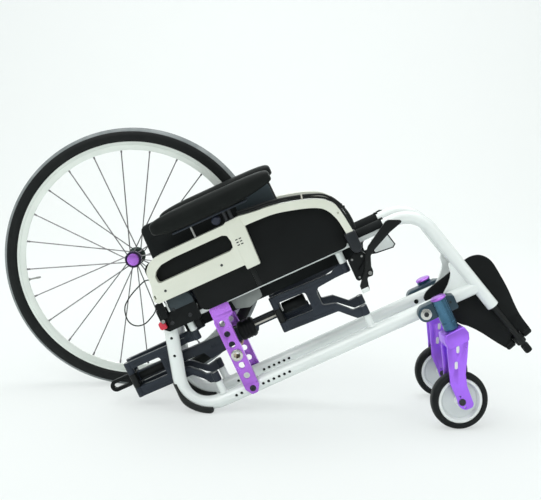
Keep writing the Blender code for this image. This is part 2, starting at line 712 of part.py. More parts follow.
def back_post(side, parent, slate):
    """Backrest tube with the knuckle block at its foot."""
    front = BACK_PANEL_END_X + 0.010
    tube = rod((BACK_PIVOT_X - 0.004, -POST_IN, BACK_PIVOT_Z), (front, -POST_IN, BACK_PIVOT_Z), POST_RADIUS, 14)
    rounding = BACK_PIVOT_Z - SEAT_TUBE_Z - SEAT_TUBE_RADIUS - 0.0005
    outline = arc((BACK_PIVOT_X, BACK_PIVOT_Z), rounding, math.radians(270), math.radians(150), 6)
    outline += [(BACK_PIVOT_X - 0.0085, BACK_PIVOT_Z + 0.0145), (BACK_PIVOT_X - 0.003, 0.2485)]
    outline += [(-0.031, 0.2495), (-0.029, 0.247), (-0.029, BACK_PIVOT_Z - rounding)]
    knuckle = prism(outline, -POST_IN - 0.0005, BRACKET_OUT - GAP)
    bore_radius = KNUCKLE_PIN_RADIUS + BORE_CLEARANCE
    x = BACK_PIVOT_X
    z = BACK_PIVOT_Z
    bore = rod((x, -0.012, z), (x, 0.03, z), bore_radius, 12)
    side_node(side, "backrest_post", parent, slate, tube, [knuckle], [bore])


def panel_grid(start_x, end_x, start, end, thickness, crown, steps_x, steps_y):
    """A plate in the XY plane, its upper face crowned, reaching inboard along Y."""
    shape = bmesh.new()
    layers = []
    for top in (False, True):
        rows = []
        for i in range(steps_x + 1):
            row = []
            for j in range(steps_y + 1):
                u = i / steps_x
                v = j / steps_y
                z = thickness if top else 0.0
                if top:
                    z += crown * (1 - (2 * u - 1) ** 4) * (1 - (2 * v - 1) ** 4)
                x = start_x + (end_x - start_x) * u
                y = start + (end - start) * v
                row.append(shape.verts.new((x, y, z)))
            rows.append(row)
        layers.append(rows)
    for rows in layers:
        for i in range(steps_x):
            for j in range(steps_y):
                shape.faces.new((rows[i][j], rows[i + 1][j], rows[i + 1][j + 1], rows[i][j + 1]))
    low, high = layers
    for i in range(steps_x):
        for j in (0, steps_y):
            shape.faces.new((low[i][j], low[i + 1][j], high[i + 1][j], high[i][j]))
    for j in range(steps_y):
        for i in (0, steps_x):
            shape.faces.new((low[i][j], low[i][j + 1], high[i][j + 1], high[i][j]))
    return shape


def hinge_bead(start_x, end_x, radius, sides=10):
    return rod((start_x, 0, 0), (end_x, 0, 0), radius, sides)


def back_panel(side, parent, cloth):
    """One half of the backrest upholstery, hinged at its post, with its inner face on the hinge line."""
    post_distance = math.hypot(SPINE_PIVOT_Y - POST_IN, BACK_HINGE_Z - BACK_PIVOT_Z)
    bead = post_distance - POST_RADIUS - GAP
    plate = panel_grid(
        BACK_PANEL_START_X, BACK_PANEL_END_X, 0.0, HALF_CLOTH - GAP,
        BACK_PANEL_THICKNESS, BACK_PANEL_CROWN, 6, 4,
    )
    rim = hinge_bead(BACK_PANEL_START_X + 0.0004, BACK_PANEL_END_X - 0.0004, bead)
    node(f"{SIDE_NAMES[side]}_backrest_panel", parent, cloth, plate, [rim], (), mirrored(side))


def sling_chain(side):
    """Hinge places and turns of the three seat panels on one side, from the seat tube to the middle."""
    outer, middle = SLING_FOLDS
    inner = HALF_CLOTH - outer - middle
    places = []
    y = CLOTH_HINGE_Y
    z = SLING_HINGE_Z
    for index, length in enumerate((outer, middle, inner)):
        down = -1 if index % 2 == 0 else 1
        places.append((side * y, z, down, length))
        y -= length * math.cos(CLOTH_ANGLE)
        z += down * length * math.sin(CLOTH_ANGLE)
    return places


def sling_panels(side, frame, black):
    tube_distance = math.hypot(HALF_WIDTH - CLOTH_HINGE_Y, SLING_HINGE_Z - SEAT_TUBE_Z)
    bead = tube_distance - SEAT_TUBE_RADIUS - GAP
    setback = (SLING_THICKNESS + GAP) / 2 / CLOTH_GAP_SLOPE
    for index, (y, z, down, length) in enumerate(sling_chain(side)):
        name = f"{SIDE_NAMES[side]}_seat_panel_{SEAT_PANELS[index]}"
        turn = (-side * down * CLOTH_ANGLE, 0, 0)
        hinge = empty(f"{name}_hinge", frame, (0, y, z), turn)
        start = 0.0 if index == 0 else setback
        half = SLING_THICKNESS / 2
        plate = block((SLING_START_X, start, -half), (SLING_END_X, length - setback, half))
        joins = []
        if index == 0:
            joins.append(hinge_bead(SLING_START_X + 0.0004, SLING_END_X - 0.0004, bead))
        node(name, hinge, black, plate, joins, (), mirrored(side))


def arm_outline():
    """Outline in arm space: distance from the frame pivot towards the spine, and height."""
    length = ARM_LENGTH
    return [
        (0, LOWER_LUG_TOP + GAP), (0.020, LOWER_LUG_TOP + GAP), (0.034, 0.055), (0.052, ARM_BOTTOM_Z),
        (length, ARM_BOTTOM_Z), (length, ARM_LOWER_BAR_TOP - GAP), (ARM_UPRIGHT_END, ARM_LOWER_BAR_TOP - GAP),
        (ARM_UPRIGHT_END, ARM_UPPER_BAR_BOTTOM), (length, ARM_UPPER_BAR_BOTTOM), (length, ARM_TOP_Z),
        (0.034, ARM_TOP_Z), (0.018, UPPER_LUG_BOTTOM - GAP), (0, UPPER_LUG_BOTTOM - GAP), (0, 0.144),
        (0.030, 0.142), (ARM_UPRIGHT_START, 0.122), (ARM_UPRIGHT_START, 0.096), (0.052, 0.090), (0.024, 0.0625),
        (0, 0.0625),
    ]


def fold_arm(name, side, parent, lug_x, knee, offset, slate):
    """A fold arm reaching back from its lug. The rear ones are cranked inboard to pass the frame's upright."""
    outline = [(lug_x - along, z) for along, z in arm_outline()]
    plate = prism(outline, -ARM_HALF_THICKNESS, ARM_HALF_THICKNESS)
    if offset:
        geometry = plate.verts[:] + plate.edges[:] + plate.faces[:]
        knee_place = (lug_x - knee, 0, 0)
        bmesh.ops.bisect_plane(plate, geom=geometry, dist=1e-7, plane_co=knee_place, plane_no=(1, 0, 0))
        for vert in plate.verts:
            along = lug_x - vert.co.x
            share = along / knee if along < knee else (ARM_LENGTH - along) / (ARM_LENGTH - knee)
            vert.co.y -= offset * share
    spine_x = lug_x - ARM_LENGTH
    knuckles = [
        rod((lug_x, 0, LOWER_LUG_TOP + GAP), (lug_x, 0, 0.0625), FRAME_KNUCKLE_RADIUS, 12),
        rod((lug_x, 0, 0.144), (lug_x, 0, UPPER_LUG_BOTTOM - GAP), FRAME_KNUCKLE_RADIUS, 12),
        rod((spine_x, 0, ARM_BOTTOM_Z), (spine_x, 0, ARM_LOWER_BAR_TOP - GAP), SPINE_KNUCKLE_RADIUS, 12),
        rod((spine_x, 0, 0.1265), (spine_x, 0, ARM_TOP_Z), SPINE_KNUCKLE_RADIUS, 12),
    ]
    bores = [
        rod((lug_x, 0, 0.030), (lug_x, 0, 0.180), PIN_BORE, 10),
        rod((spine_x, 0, 0.060), (spine_x, 0, 0.170), PIN_BORE, 10),
    ]
    node(name, parent, slate, plate, [merged(knuckles)], [merged(bores)], on_side(side, ORIGINS[parent.name]))


def stadium(x0, x1, z0, z1, steps=5):
    radius = (z1 - z0) / 2
    middle = (z0 + z1) / 2
    right = arc((x1 - radius, middle), radius, -math.pi / 2, math.pi / 2, steps)
    left = arc((x0 + radius, middle), radius, math.pi / 2, 3 * math.pi / 2, steps)
    return right + left


def spine(parent, slate):
    """Middle beam with two knuckle blocks, their pins, the tightening knob and the pull loop."""
    low = ARM_LOWER_BAR_TOP + GAP
    high = 0.1265 - GAP
    wide = SPINE_HALF_WIDTH
    joins = []
    for x in (SPINE_FRONT_X, SPINE_REAR_X):
        joins.append(block((x - SPINE_BLOCK_HALF, -SPINE_PIVOT_Y, low), (x + SPINE_BLOCK_HALF, SPINE_PIVOT_Y, high)))
        for side in (RIGHT, LEFT):
            y = side * SPINE_PIVOT_Y
            joins.append(rod((x, y, low), (x, y, high), SPINE_KNUCKLE_RADIUS, 12))
            joins.append(rod((x, y, ARM_BOTTOM_Z), (x, y, ARM_TOP_Z), PIN_RADIUS, 10))
    beam = [(SPINE_REAR_X, 0.103), (-0.070, 0.101), (-0.060, 0.082), (0.062, 0.096), (0.066, 0.1055)]
    beam += [(SPINE_FRONT_X, 0.1055), (SPINE_FRONT_X, 0.1215), (SPINE_REAR_X, 0.1235)]
    knob = rod((0.0385, 0, 0.086), (0.0385, 0, 0.148), 0.0145, 14)
    shape = prism(beam, -wide + 0.001, wide - 0.001)
    node("fold_spine", parent, slate, shape, joins + [knob], (), shifted(ORIGINS[parent.name]))


def pull_loop(parent, black):
    """Oval loop on the back of the spine, pulled up to fold the chair."""
    end = SPINE_REAR_X - SPINE_BLOCK_HALF - GAP
    low, high = LOOP_HEIGHTS
    ring = prism(stadium(LOOP_REAR_X, end + 0.004, low, high), -0.006, 0.006)
    inside = stadium(LOOP_REAR_X + LOOP_WALL, end - LOOP_WALL, low + LOOP_WALL, high - LOOP_WALL)
    hole = prism(inside, -0.02, 0.02)
    trim = block((end, -0.02, low - 0.01), (end + 0.02, 0.02, high + 0.01))
    node("fold_pull_loop", parent, black, ring, (), [hole, trim], shifted(ORIGINS[parent.name]))


def brake_body(side, parent, black):
    outline = [(0.306, 0.122), (0.345, 0.122), (0.351, 0.131), (0.351, 0.168), (0.345, 0.1775)]
    outline += [(0.318, 0.1775), (0.303, 0.164), (0.303, 0.128)]
    x, z = BRAKE_PIVOT
    pin = rod((x, BRAKE_OUTER - 0.004, z), (x, BRAKE_OUTER + LEVER_THICKNESS + 0.003, z), BRAKE_PIN_RADIUS, 10)
    side_node(side, "brake_body", parent, black, prism(outline, BRAKE_INNER, BRAKE_OUTER), [pin])


def brake_lever(side, parent, slate):
    """Hand paddle and shoe as one lever turning on the brake body's pin."""
    x, z = BRAKE_PIVOT
    low = BRAKE_OUTER + GAP
    high = low + LEVER_THICKNESS
    outline = [(x - 0.012, z - 0.006), (x + 0.004, z - 0.011), (x + 0.011, z - 0.003), (0.362, 0.150)]
    outline += [(0.401, 0.175), (0.440, 0.187), (0.444, 0.194), (0.419, 0.2095), (0.404, 0.208)]
    outline += [(0.350, 0.171), (0.328, 0.1405), (0.304, 0.112), (0.304, 0.095), (0.320, 0.095)]
    outline.append((0.322, 0.108))
    grip = block((0.392, low - 0.008, 0.182), (0.426, low + 0.002, 0.201))
    shoe = block((0.3045, low - 0.011, 0.0955), (0.3195, low + 0.001, 0.1105))
    bore = rod((x, 0.02, z), (x, 0.05, z), BRAKE_PIN_RADIUS + BORE_CLEARANCE, 10)
    side_node(side, "brake_lever", parent, slate, prism(outline, low, high), [merged([grip, shoe])], [bore])


def curve_points(points, steps):
    """A smooth curve through the given points, read off at even steps between them."""
    places = [Vector(point) for point in points]
    out = []
    for index in range(len(places) - 1):
        before = places[max(index - 1, 0)]
        first = places[index]
        second = places[index + 1]
        after = places[min(index + 2, len(places) - 1)]
        for step in range(steps):
            t = step / steps
            out.append(
                0.5 * (
                    2 * first + (second - before) * t
                    + (2 * before - 5 * first + 4 * second - after) * t ** 2
                    + (3 * first - before - 3 * second + after) * t ** 3
                )
            )
    out.append(places[-1])
    return out


def cord(name, parent, material, points, radius, side):
    curve = bpy.data.curves.new(name, "CURVE")
    curve.dimensions = "3D"
    curve.bevel_depth = radius
    curve.bevel_resolution = 2
    curve.use_fill_caps = True
    line = curve.splines.new("POLY")
    mapping = on_side(side, ORIGINS[parent.name])
    line.points.add(len(points) - 1)
    for target, point in zip(line.points, points):
        target.co = (*mapping(point), 1)
    curve.materials.append(material)
    made = bpy.data.objects.new(name, curve)
    bpy.context.scene.collection.objects.link(made)
    made.parent = parent


def brake_cable(side, parent, black):
    """Cable from the pad post along the top of the armrest frame and down its front leg."""
    lift = BRAKE_CABLE_RADIUS + GAP
    route = [(0.127, 0.3487 + lift), (0.160, 0.345 + lift), (0.225, 0.3375 + lift)]
    route += [(0.260, 0.3295 + lift), (0.293, 0.320 + lift), (0.318, 0.300 + lift)]
    route += [(0.337, 0.276), (0.3445, 0.250), (0.3475, 0.2255)]
    points = curve_points([(x, ARMREST_OUT, z) for x, z in route], 3)
    cord(f"{SIDE_NAMES[side]}_brake_cable", parent, black, points, BRAKE_CABLE_RADIUS, side)


def release_cord(parent, black):
    """Loop of cord on the right bracket that frees the backrest when pulled."""
    out = 0.0150
    top = 0.240 + RELEASE_CORD_RADIUS + GAP
    route = [(-0.1083, top - 0.001), (-0.1092, top + 0.0025), (-0.1145, top + 0.0025), (-0.129, 0.2350)]
    route += [(-0.150, 0.2265), (-0.1716, 0.2266), (-0.1885, 0.242), (-0.184, 0.268), (-0.155, 0.2905)]
    route += [(-0.123, 0.3045), (-0.109, 0.301), (-0.1042, 0.286), (-0.1035, 0.262), (-0.1035, top - 0.001)]
    points = curve_points([(x, out, z) for x, z in route], 2)
    cord("backrest_release_cord", parent, black, points, RELEASE_CORD_RADIUS, RIGHT)


def wheel_tyre(place, parent, rubber):
    half = TYRE_HALF_WIDTH
    shoulder = WHEEL_RADIUS - TYRE_SHOULDER_DROP
    tread = TYRE_TREAD_HALF
    profile = [
        (TYRE_SEAT_RADIUS, -RIM_HALF_WIDTH - 0.001), (shoulder, -half), (WHEEL_RADIUS, -tread),
        (WHEEL_RADIUS, tread), (shoulder, half), (TYRE_SEAT_RADIUS, RIM_HALF_WIDTH + 0.001),
    ]
    node("wheel_tyre", parent, rubber, turned(profile, place, WHEEL_SIDES), place=shifted(place))


def wheel_rim(place, parent, alloy):
    edge = TYRE_SEAT_RADIUS - GAP
    wide = RIM_HALF_WIDTH
    profile = [(RIM_INNER_RADIUS, -0.006), (edge - 0.010, -wide), (edge, -wide)]
    profile += [(edge, wide), (edge - 0.010, wide), (RIM_INNER_RADIUS, 0.006)]
    node("wheel_rim", parent, alloy, turned(profile, place, WHEEL_SIDES), place=shifted(place))


def wheel_hub(place, parent, dark):
    """Hub shell and its spokes, which run in turn from the near and the far flange to the rim."""
    x, y, z = place
    rim_flat = RIM_INNER_RADIUS * math.cos(math.pi / WHEEL_SIDES)
    outer = rim_flat - 2 * GAP
    spokes = []
    for index in range(SPOKE_COUNT):
        turn = 2 * math.pi * (index + 0.5) / SPOKE_COUNT
        if index % 2 == 0:
            flange, along, start = NEAR_FLANGE_RADIUS, NEAR_FLANGE_Y, turn + SPOKE_CROSSING
        else:
            flange, along, start = FAR_FLANGE_RADIUS, FAR_FLANGE_Y, turn - SPOKE_CROSSING
        inner = flange - 0.0025
        first = (x + inner * math.cos(start), y + along, z + inner * math.sin(start))
        second = (x + outer * math.cos(turn), y, z + outer * math.sin(turn))
        spokes.append(rod(first, second, SPOKE_RADIUS, 4))
    bore = WHEEL_AXLE_RADIUS + BORE_CLEARANCE
    pocket = CAP_RADIUS + GAP
    shell = [
        (bore, -0.0135), (0.006, -0.0135), (0.006, -0.017), (pocket, -0.017), (pocket, -0.022),
        (NEAR_FLANGE_RADIUS, -0.022), (NEAR_FLANGE_RADIUS, -0.014), (0.0125, -0.012), (0.0125, 0.024),
        (FAR_FLANGE_RADIUS, 0.0265), (FAR_FLANGE_RADIUS, 0.0315), (bore, 0.0335),
    ]
    shape = turned(shell, place, 20)
    node("wheel_hub_and_spokes", parent, dark, shape, [merged(spokes)], place=shifted(place))


def wheel_axle_pin(place, parent, steel):
    x, y, z = place
    pin = rod((x, y - 0.0132, z), (x, y + WHEEL_AXLE_END, z), WHEEL_AXLE_RADIUS, 16)
    node("wheel_axle_pin", parent, steel, pin, place=shifted(place))


def wheel_release_cap(place, parent, purple):
    x, y, z = place
    cap = rod((x, y - 0.0255, z), (x, y - 0.0205, z), CAP_RADIUS, 20)
    node("wheel_release_cap", parent, purple, cap, place=shifted(place))


def build_side(side, chair, colours):
    name = SIDE_NAMES[side]
    frame = empty(f"{name}_frame", chair)
    side_frame(side, frame, colours["white"])
    bumper(side, frame, colours["rubber"])
    axle_plate(side, frame, colours["purple"])
    axle_sleeve(side, frame, colours["steel"])
    caster_housing(side, frame, colours["slate"])
    swivel_turn = (0, 0, NEAR_CASTER_SWIVEL if side == RIGHT else 0.0)
    swivel_place = side_place(side, CASTER_X, CASTER_OUT, 0)
    swivel = empty(f"{name}_caster_swivel", frame, swivel_place, swivel_turn)
    caster_fork(side, swivel, colours["purple"])
    axle_place = side_place(side, CASTER_CENTRE[0], CASTER_OUT, CASTER_AXLE_Z)
    spin = empty(f"{name}_caster_spin", swivel, axle_place)
    caster_wheel(side, spin, colours["rubber"], colours["alloy"])
    slide_place = side_place(side, SLEEVE_END[0], 0, SLEEVE_END[1])
    slide = empty(f"{name}_footrest_slide", frame, slide_place)
    hanger(side, slide, colours["black"])
    hinge_place = side_place(side, FOOTPLATE_HINGE_X, -FOOTPLATE_IN, FOOTPLATE_HINGE_Z)
    hinge = empty(f"{name}_footplate_hinge", slide, hinge_place)
    footplate(side, hinge, colours["black"])
    armrest_place = side_place(side, ARMREST_PIVOT_X, 0, ARMREST_PIVOT_Z)
    armrest = empty(f"{name}_armrest_pivot", frame, armrest_place)
    armrest_frame(side, armrest, colours["white"])
    armrest_guard(side, armrest, colours["black"])
    armrest_pad(side, armrest, colours["pad"])
    brake_cable(side, armrest, colours["black"])
    armrest_socket(side, frame, colours["slate"])
    back_bracket(side, frame, colours["black"])
    button = empty(f"{name}_release_slide", frame, side_place(side, BUTTON_REAR_X, 0, 0.200))
    release_button(side, button, colours["red"])
    post_place = side_place(side, BACK_PIVOT_X, 0, BACK_PIVOT_Z)
    post = empty(f"{name}_backrest_pivot", frame, post_place)
    back_post(side, post, colours["slate"])
    panel_place = (0, side * CLOTH_HINGE_Y, BACK_HINGE_Z)
    panel_turn = (-side * CLOTH_ANGLE, 0, 0)
    panel = empty(f"{name}_backrest_panel_hinge", post, panel_place, panel_turn)
    back_panel(side, panel, colours["cloth"])
    sling_panels(side, frame, colours["cloth"])
    brake_body(side, frame, colours["black"])
    lever = empty(f"{name}_brake_pivot", frame, side_place(side, BRAKE_PIVOT[0], 0, BRAKE_PIVOT[1]))
    brake_lever(side, lever, colours["slate"])
    ends = (("front", FRONT_LUG_X, 0, 0), ("rear", REAR_LUG_X, REAR_ARM_KNEE, REAR_ARM_OFFSET))
    for end, lug_x, knee, offset in ends:
        title = f"{name}_{end}_fold_arm"
        turn = (0, 0, side * FOLDED_ANGLE)
        pivot = empty(f"{title}_pivot", frame, side_place(side, lug_x, 0, 0), turn)
        fold_arm(title, side, pivot, lug_x, knee, offset, colours["slate"])


def build_middle(chair, colours):
    place = empty("fold_spine_place", chair, (SPINE_FRONT_X, 0, 0))
    spine(place, colours["slate"])
    pull_loop(place, colours["black"])


def build_wheel(stand, colours):
    pad_edge = HALF_WIDTH + ARMREST_OUT + PAD_WIDTH / 2
    place = Vector((-WHEEL_BEHIND_CHAIR, pad_edge + PAD_TO_TYRE + TYRE_HALF_WIDTH, WHEEL_RADIUS))
    spin = empty("rear_wheel_spin", stand, place)
    button = empty("rear_wheel_cap_slide", spin, place)
    wheel_tyre(place, spin, colours["rubber"])
    wheel_rim(place, spin, colours["alloy"])
    wheel_hub(place, spin, colours["dark"])
    wheel_axle_pin(place, spin, colours["steel"])
    wheel_release_cap(place, button, colours["purple"])


def centre_on_floor(stand):
    """Moves everything so that the origin is under the middle of the model, on the floor."""
    bpy.context.view_layer.update()
    graph = bpy.context.evaluated_depsgraph_get()
    low = Vector((math.inf,) * 3)
    high = Vector((-math.inf,) * 3)
    for item in bpy.context.scene.objects:
        if item.type == "EMPTY" or item.hide_render:
            continue
        shown = item.evaluated_get(graph)
        mesh = shown.to_mesh()
        for vert in mesh.vertices:
            point = shown.matrix_world @ vert.co
            low = Vector(map(min, low, point))
            high = Vector(map(max, high, point))
        shown.to_mesh_clear()
    stand.location = Vector((-(low.x + high.x) / 2, -(low.y + high.y) / 2, -low.z))
    bpy.context.view_layer.update()


def main():
    for item in list(bpy.data.objects):
        bpy.data.objects.remove(item)
    colours = {
        "white": finish("pearl_white", (0.80, 0.80, 0.76), 0.28),
        "purple": finish("anodised_purple", (0.36, 0.12, 0.87), 0.35, 0.6),
        "slate": finish("slate_grey", (0.035, 0.050, 0.070), 0.45, 0.2),
        "black": finish("black_plastic", (0.012, 0.014, 0.015), 0.5),
        "pad": finish("black_foam", (0.018, 0.020, 0.020), 0.6),
        "cloth": finish("black_cloth", (0.015, 0.017, 0.018), 0.85),
        "rubber": finish("black_rubber", (0.015, 0.017, 0.020), 0.7),
        "steel": finish("steel", (0.55, 0.56, 0.57), 0.3, 1.0),
        "alloy": finish("pale_alloy", (0.70, 0.70, 0.68), 0.35, 0.3),
        "dark": finish("dark_anodised", (0.06, 0.02, 0.12), 0.4, 0.6),
        "red": finish("red_plastic", (0.75, 0.02, 0.06), 0.4),
    }
    stand = empty("stand", None)
    chair = empty("chair", stand)
    chair.location = (0, 0, CHAIR_HEIGHT)
    chair.rotation_euler = (0, -TILT, 0)
    for side in (RIGHT, LEFT):
        build_side(side, chair, colours)
    build_middle(chair, colours)
    release_cord(bpy.data.objects["right_frame"], colours["black"])
    build_wheel(stand, colours)
    centre_on_floor(stand)


if __name__ == "__main__":
    main()
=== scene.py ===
"""Visible pieces of a folded active wheelchair, built over its CAD frame."""

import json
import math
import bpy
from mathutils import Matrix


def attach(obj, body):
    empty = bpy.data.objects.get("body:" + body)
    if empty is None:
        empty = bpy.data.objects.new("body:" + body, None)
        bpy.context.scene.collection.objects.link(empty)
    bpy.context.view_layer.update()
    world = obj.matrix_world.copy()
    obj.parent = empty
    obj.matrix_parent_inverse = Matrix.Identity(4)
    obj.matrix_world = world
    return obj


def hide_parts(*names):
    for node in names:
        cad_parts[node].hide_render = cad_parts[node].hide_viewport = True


bl_info = {
    "name": "Folded Active Wheelchair",
    "version": (1, 0, 0),
    "blender": (4, 5, 0),
    "location": "View3D > Sidebar > Wheelchair",
    "description": "Builds the visible pieces of a folding active wheelchair over its CAD frame",
    "category": "Object",
}

import bpy
from mathutils import Matrix, Vector

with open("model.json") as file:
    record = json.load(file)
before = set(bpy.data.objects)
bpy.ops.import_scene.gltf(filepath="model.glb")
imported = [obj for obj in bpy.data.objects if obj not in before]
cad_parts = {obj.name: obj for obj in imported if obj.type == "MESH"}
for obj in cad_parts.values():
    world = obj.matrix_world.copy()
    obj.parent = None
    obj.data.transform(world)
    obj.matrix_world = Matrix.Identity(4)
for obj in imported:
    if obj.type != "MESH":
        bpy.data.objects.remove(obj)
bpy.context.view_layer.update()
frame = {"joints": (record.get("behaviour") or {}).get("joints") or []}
JOINTS = {joint["name"]: joint for joint in frame["joints"]}

SIDES = {"right": -1, "left": 1}

# Sizes and places in metres, as in the CAD. In chair space X runs forward, and Z is 0 along the lower tube
CHAIR_TILT = math.radians(26.06)
SPINE_PIVOT_Y = 0.017
ARM_LENGTH = 0.1757
FOLDED = math.radians(10)
HALF_WIDTH = SPINE_PIVOT_Y + ARM_LENGTH * math.sin(FOLDED)
FRONT_LUG_X = 0.292
REAR_LUG_X = -0.0593
SPINE_FRONT_X = FRONT_LUG_X - ARM_LENGTH * math.cos(FOLDED)
SPINE_REAR_X = REAR_LUG_X - ARM_LENGTH * math.cos(FOLDED)
SEAT_TUBE_Z = 0.2035
SEAT_TUBE = 0.0135
LOWER_TUBE = 0.015
LUG_RADIUS = 0.008
PIN_RADIUS = 0.004
PIN_BORE = PIN_RADIUS + 0.0004
BUMPER_CENTRE = (-0.0654, 0.069)
REAR_BEND = 0.069
BEND_STEPS = 28
BEND_SQUEEZE = 0.0024
UPRIGHT_BEND = 0.024
FRONT_BEND = 0.067
UPRIGHT_LEAN = math.radians(15.8)
FRONT_LEAN = math.radians(14.4)
FRONT_CORNER_X = 0.4786
SLEEVE_END = (FRONT_CORNER_X + (SEAT_TUBE_Z + 0.053) * math.tan(FRONT_LEAN), -0.053)
BRACKET_OUT = 0.0153
BRACKET_FACE = 0.0225
PLATE_OUTER = 0.0185
CASTER_X = 0.4415
CLAMP_X = 0.406
CASTER_OUT = 0.045
CASTER_AXLE = (0.3934, -0.191)
CASTER_TURN = {"right": math.radians(8), "left": 0.0}
AXLE_X = 0.0047
AXLE_Z = 0.081
ARMREST_OUT = 0.029
ARMREST_IN = 0.02
BACK_PIVOT = (-0.075, 0.2285)
BRAKE_PIVOT = (0.335, 0.1295)
CLOTH_HINGE_Y = HALF_WIDTH - SPINE_PIVOT_Y
CLOTH_ANGLE = math.pi / 2 - FOLDED
FOOT_HINGE = (0.569, -0.1495)
FOOT_RAKE = math.radians(16.7)
FOOTPLATE_LENGTH = {"right": 0.212, "left": 0.131}


class WheelchairColours(bpy.types.PropertyGroup):
    frame_paint: bpy.props.FloatVectorProperty(
        name="Frame Paint", description="Pearl paint of the tubes", subtype="COLOR",
        default=(0.82, 0.86, 0.85),
    )
    anodised: bpy.props.FloatVectorProperty(
        name="Anodised Parts", description="Axle plates, forks and caps", subtype="COLOR",
        default=(0.43, 0.165, 0.98),
    )
    slate: bpy.props.FloatVectorProperty(
        name="Slate Coating", description="Fold arms, housings and levers", subtype="COLOR",
        default=(0.016, 0.021, 0.031),
    )
    plastic: bpy.props.FloatVectorProperty(
        name="Black Plastic", description="Guards, brackets and footplates", subtype="COLOR",
        default=(0.0062, 0.0074, 0.0078),
    )
    cloth: bpy.props.FloatVectorProperty(
        name="Cloth", description="Seat and back upholstery", subtype="COLOR",
        default=(0.0055, 0.0068, 0.007),
    )
    button: bpy.props.FloatVectorProperty(
        name="Release Button", description="Button behind the backrest bracket", subtype="COLOR",
        default=(0.68, 0.015, 0.05),
    )


class WheelchairSizes(bpy.types.PropertyGroup):
    tube_sides: bpy.props.IntProperty(
        name="Tube Sides", description="Faces round each frame tube", default=32, min=12, max=64,
    )
    wheel_sides: bpy.props.IntProperty(
        name="Wheel Sides", description="Faces round the rear wheel", default=144, min=48, max=288,
    )
    spoke_radius: bpy.props.FloatProperty(
        name="Spoke Radius", description="Half of a spoke's thickness", default=0.0014, unit="LENGTH",
    )
    edge: bpy.props.FloatProperty(
        name="Edge Rounding", description="Rounding of machined edges", default=0.0008, unit="LENGTH",
    )
    pad_crown: bpy.props.FloatProperty(
        name="Panel Crown", description="How far the back panels swell", default=0.003, unit="LENGTH",
    )


# Placing


def chair_matrix():
    """Chair space in the frame that all pieces share, from the joints that the CAD states."""
    forward = Vector(JOINTS["right_button_press"]["axis"])
    up = Vector(JOINTS["right_caster_swivel"]["axis"])
    turn = Matrix((forward, up.cross(forward), up)).transposed()
    lug = Vector(JOINTS["fold"]["pos_m"])
    origin = lug - turn @ Vector((FRONT_LUG_X, -HALF_WIDTH, 0.1))
    return Matrix.Translation(origin) @ turn.to_4x4()


CHAIR = chair_matrix()


def side_space(sign):
    """Distance outboard of the side's own plane, in place of Y."""
    flip = Matrix.Diagonal((1, sign, 1, 1))
    return CHAIR @ Matrix.Translation((0, sign * HALF_WIDTH, 0)) @ flip


def turned_space(sign, x, out, angle):
    """Side space of a piece that is turned about an upright axis."""
    pivot = Matrix.Translation((x, sign * (HALF_WIDTH + out), 0))
    local = Matrix.Translation((-x, -out, 0))
    return CHAIR @ pivot @ Matrix.Rotation(angle, 4, "Z") @ Matrix.Diagonal((1, sign, 1, 1)) @ local


# Turns of a plate that was cut in the XZ plane: to lie flat, and to run along X
LAID_FLAT = Matrix(((1, 0, 0, 0), (0, 0, 1, 0), (0, -1, 0, 0), (0, 0, 0, 1)))
ALONG_X = Matrix(((0, 1, 0, 0), (1, 0, 0, 0), (0, 0, 1, 0), (0, 0, 0, 1)))


def hinge_space(sign, y, z, angle):
    """Space of a cloth panel: X along its hinge and Y from the hinge towards the middle."""
    place = Matrix.Translation((0, y, z)) @ Matrix.Rotation(angle, 4, "X")
    return CHAIR @ place @ Matrix.Diagonal((1, -sign, 1, 1))


# Modelling


def choose(*pieces):
    bpy.ops.object.select_all(action="DESELECT")
    for piece in pieces:
        piece.select_set(True)
    bpy.context.view_layer.objects.active = pieces[0]


def edit_whole_mesh():
    """Opens the active mesh with all of it selected."""
    bpy.ops.object.mode_set(mode="EDIT")
    bpy.ops.mesh.select_all(action="SELECT")


def apply_modifier(piece, kind, **settings):
    choose(piece)
    step = piece.modifiers.new(kind.title(), kind)
    for key, value in settings.items():
        setattr(step, key, value)
    bpy.ops.object.modifier_apply(modifier=step.name)


def round_edges(piece, width, steps=2, angle=30):
    apply_modifier(
        piece, "BEVEL", width=width, segments=steps, limit_method="ANGLE", angle_limit=math.radians(angle),
        use_clamp_overlap=True,
    )


def soften(outline, radius, steps=4):
    """The outline with each corner rounded."""
    softened = []
    count = len(outline)
    for index, corner in enumerate(outline):
        here = Vector(corner)
        before = Vector(outline[index - 1]) - here
        after = Vector(outline[(index + 1) % count]) - here
        bend = math.pi - before.angle(after, math.pi)
        reach = min(radius * math.tan(bend / 2), before.length * 0.45, after.length * 0.45)
        if bend < 0.12:
            softened.append(tuple(here))
            continue
        first = here + before.normalized() * reach
        last = here + after.normalized() * reach
        for step in range(steps + 1):
            share = step / steps
            point = first * (1 - share) ** 2 + here * 2 * share * (1 - share) + last * share ** 2
            softened.append(tuple(point))
    return softened


def cut_plate(name, outline, low, high, edge=None, steps=2):
    """A plate with an outline in the XZ plane, reaching from low to high along Y."""
    bpy.ops.object.select_all(action="DESELECT")
    bpy.ops.mesh.primitive_circle_add(vertices=len(outline), fill_type="NGON")
    piece = bpy.context.object
    piece.name = name
    for vert, (x, z) in zip(piece.data.vertices, outline):
        vert.co = (x, low, z)
    edit_whole_mesh()
    bpy.ops.mesh.extrude_region_move(TRANSFORM_OT_translate={"value": (0, high - low, 0)})
    bpy.ops.mesh.select_all(action="SELECT")
    bpy.ops.mesh.normals_make_consistent(inside=False)
    bpy.ops.object.mode_set(mode="OBJECT")
    width = bpy.context.scene.wheelchair_sizes.edge if edge is None else edge
    if width:
        round_edges(piece, width, steps)
    return piece


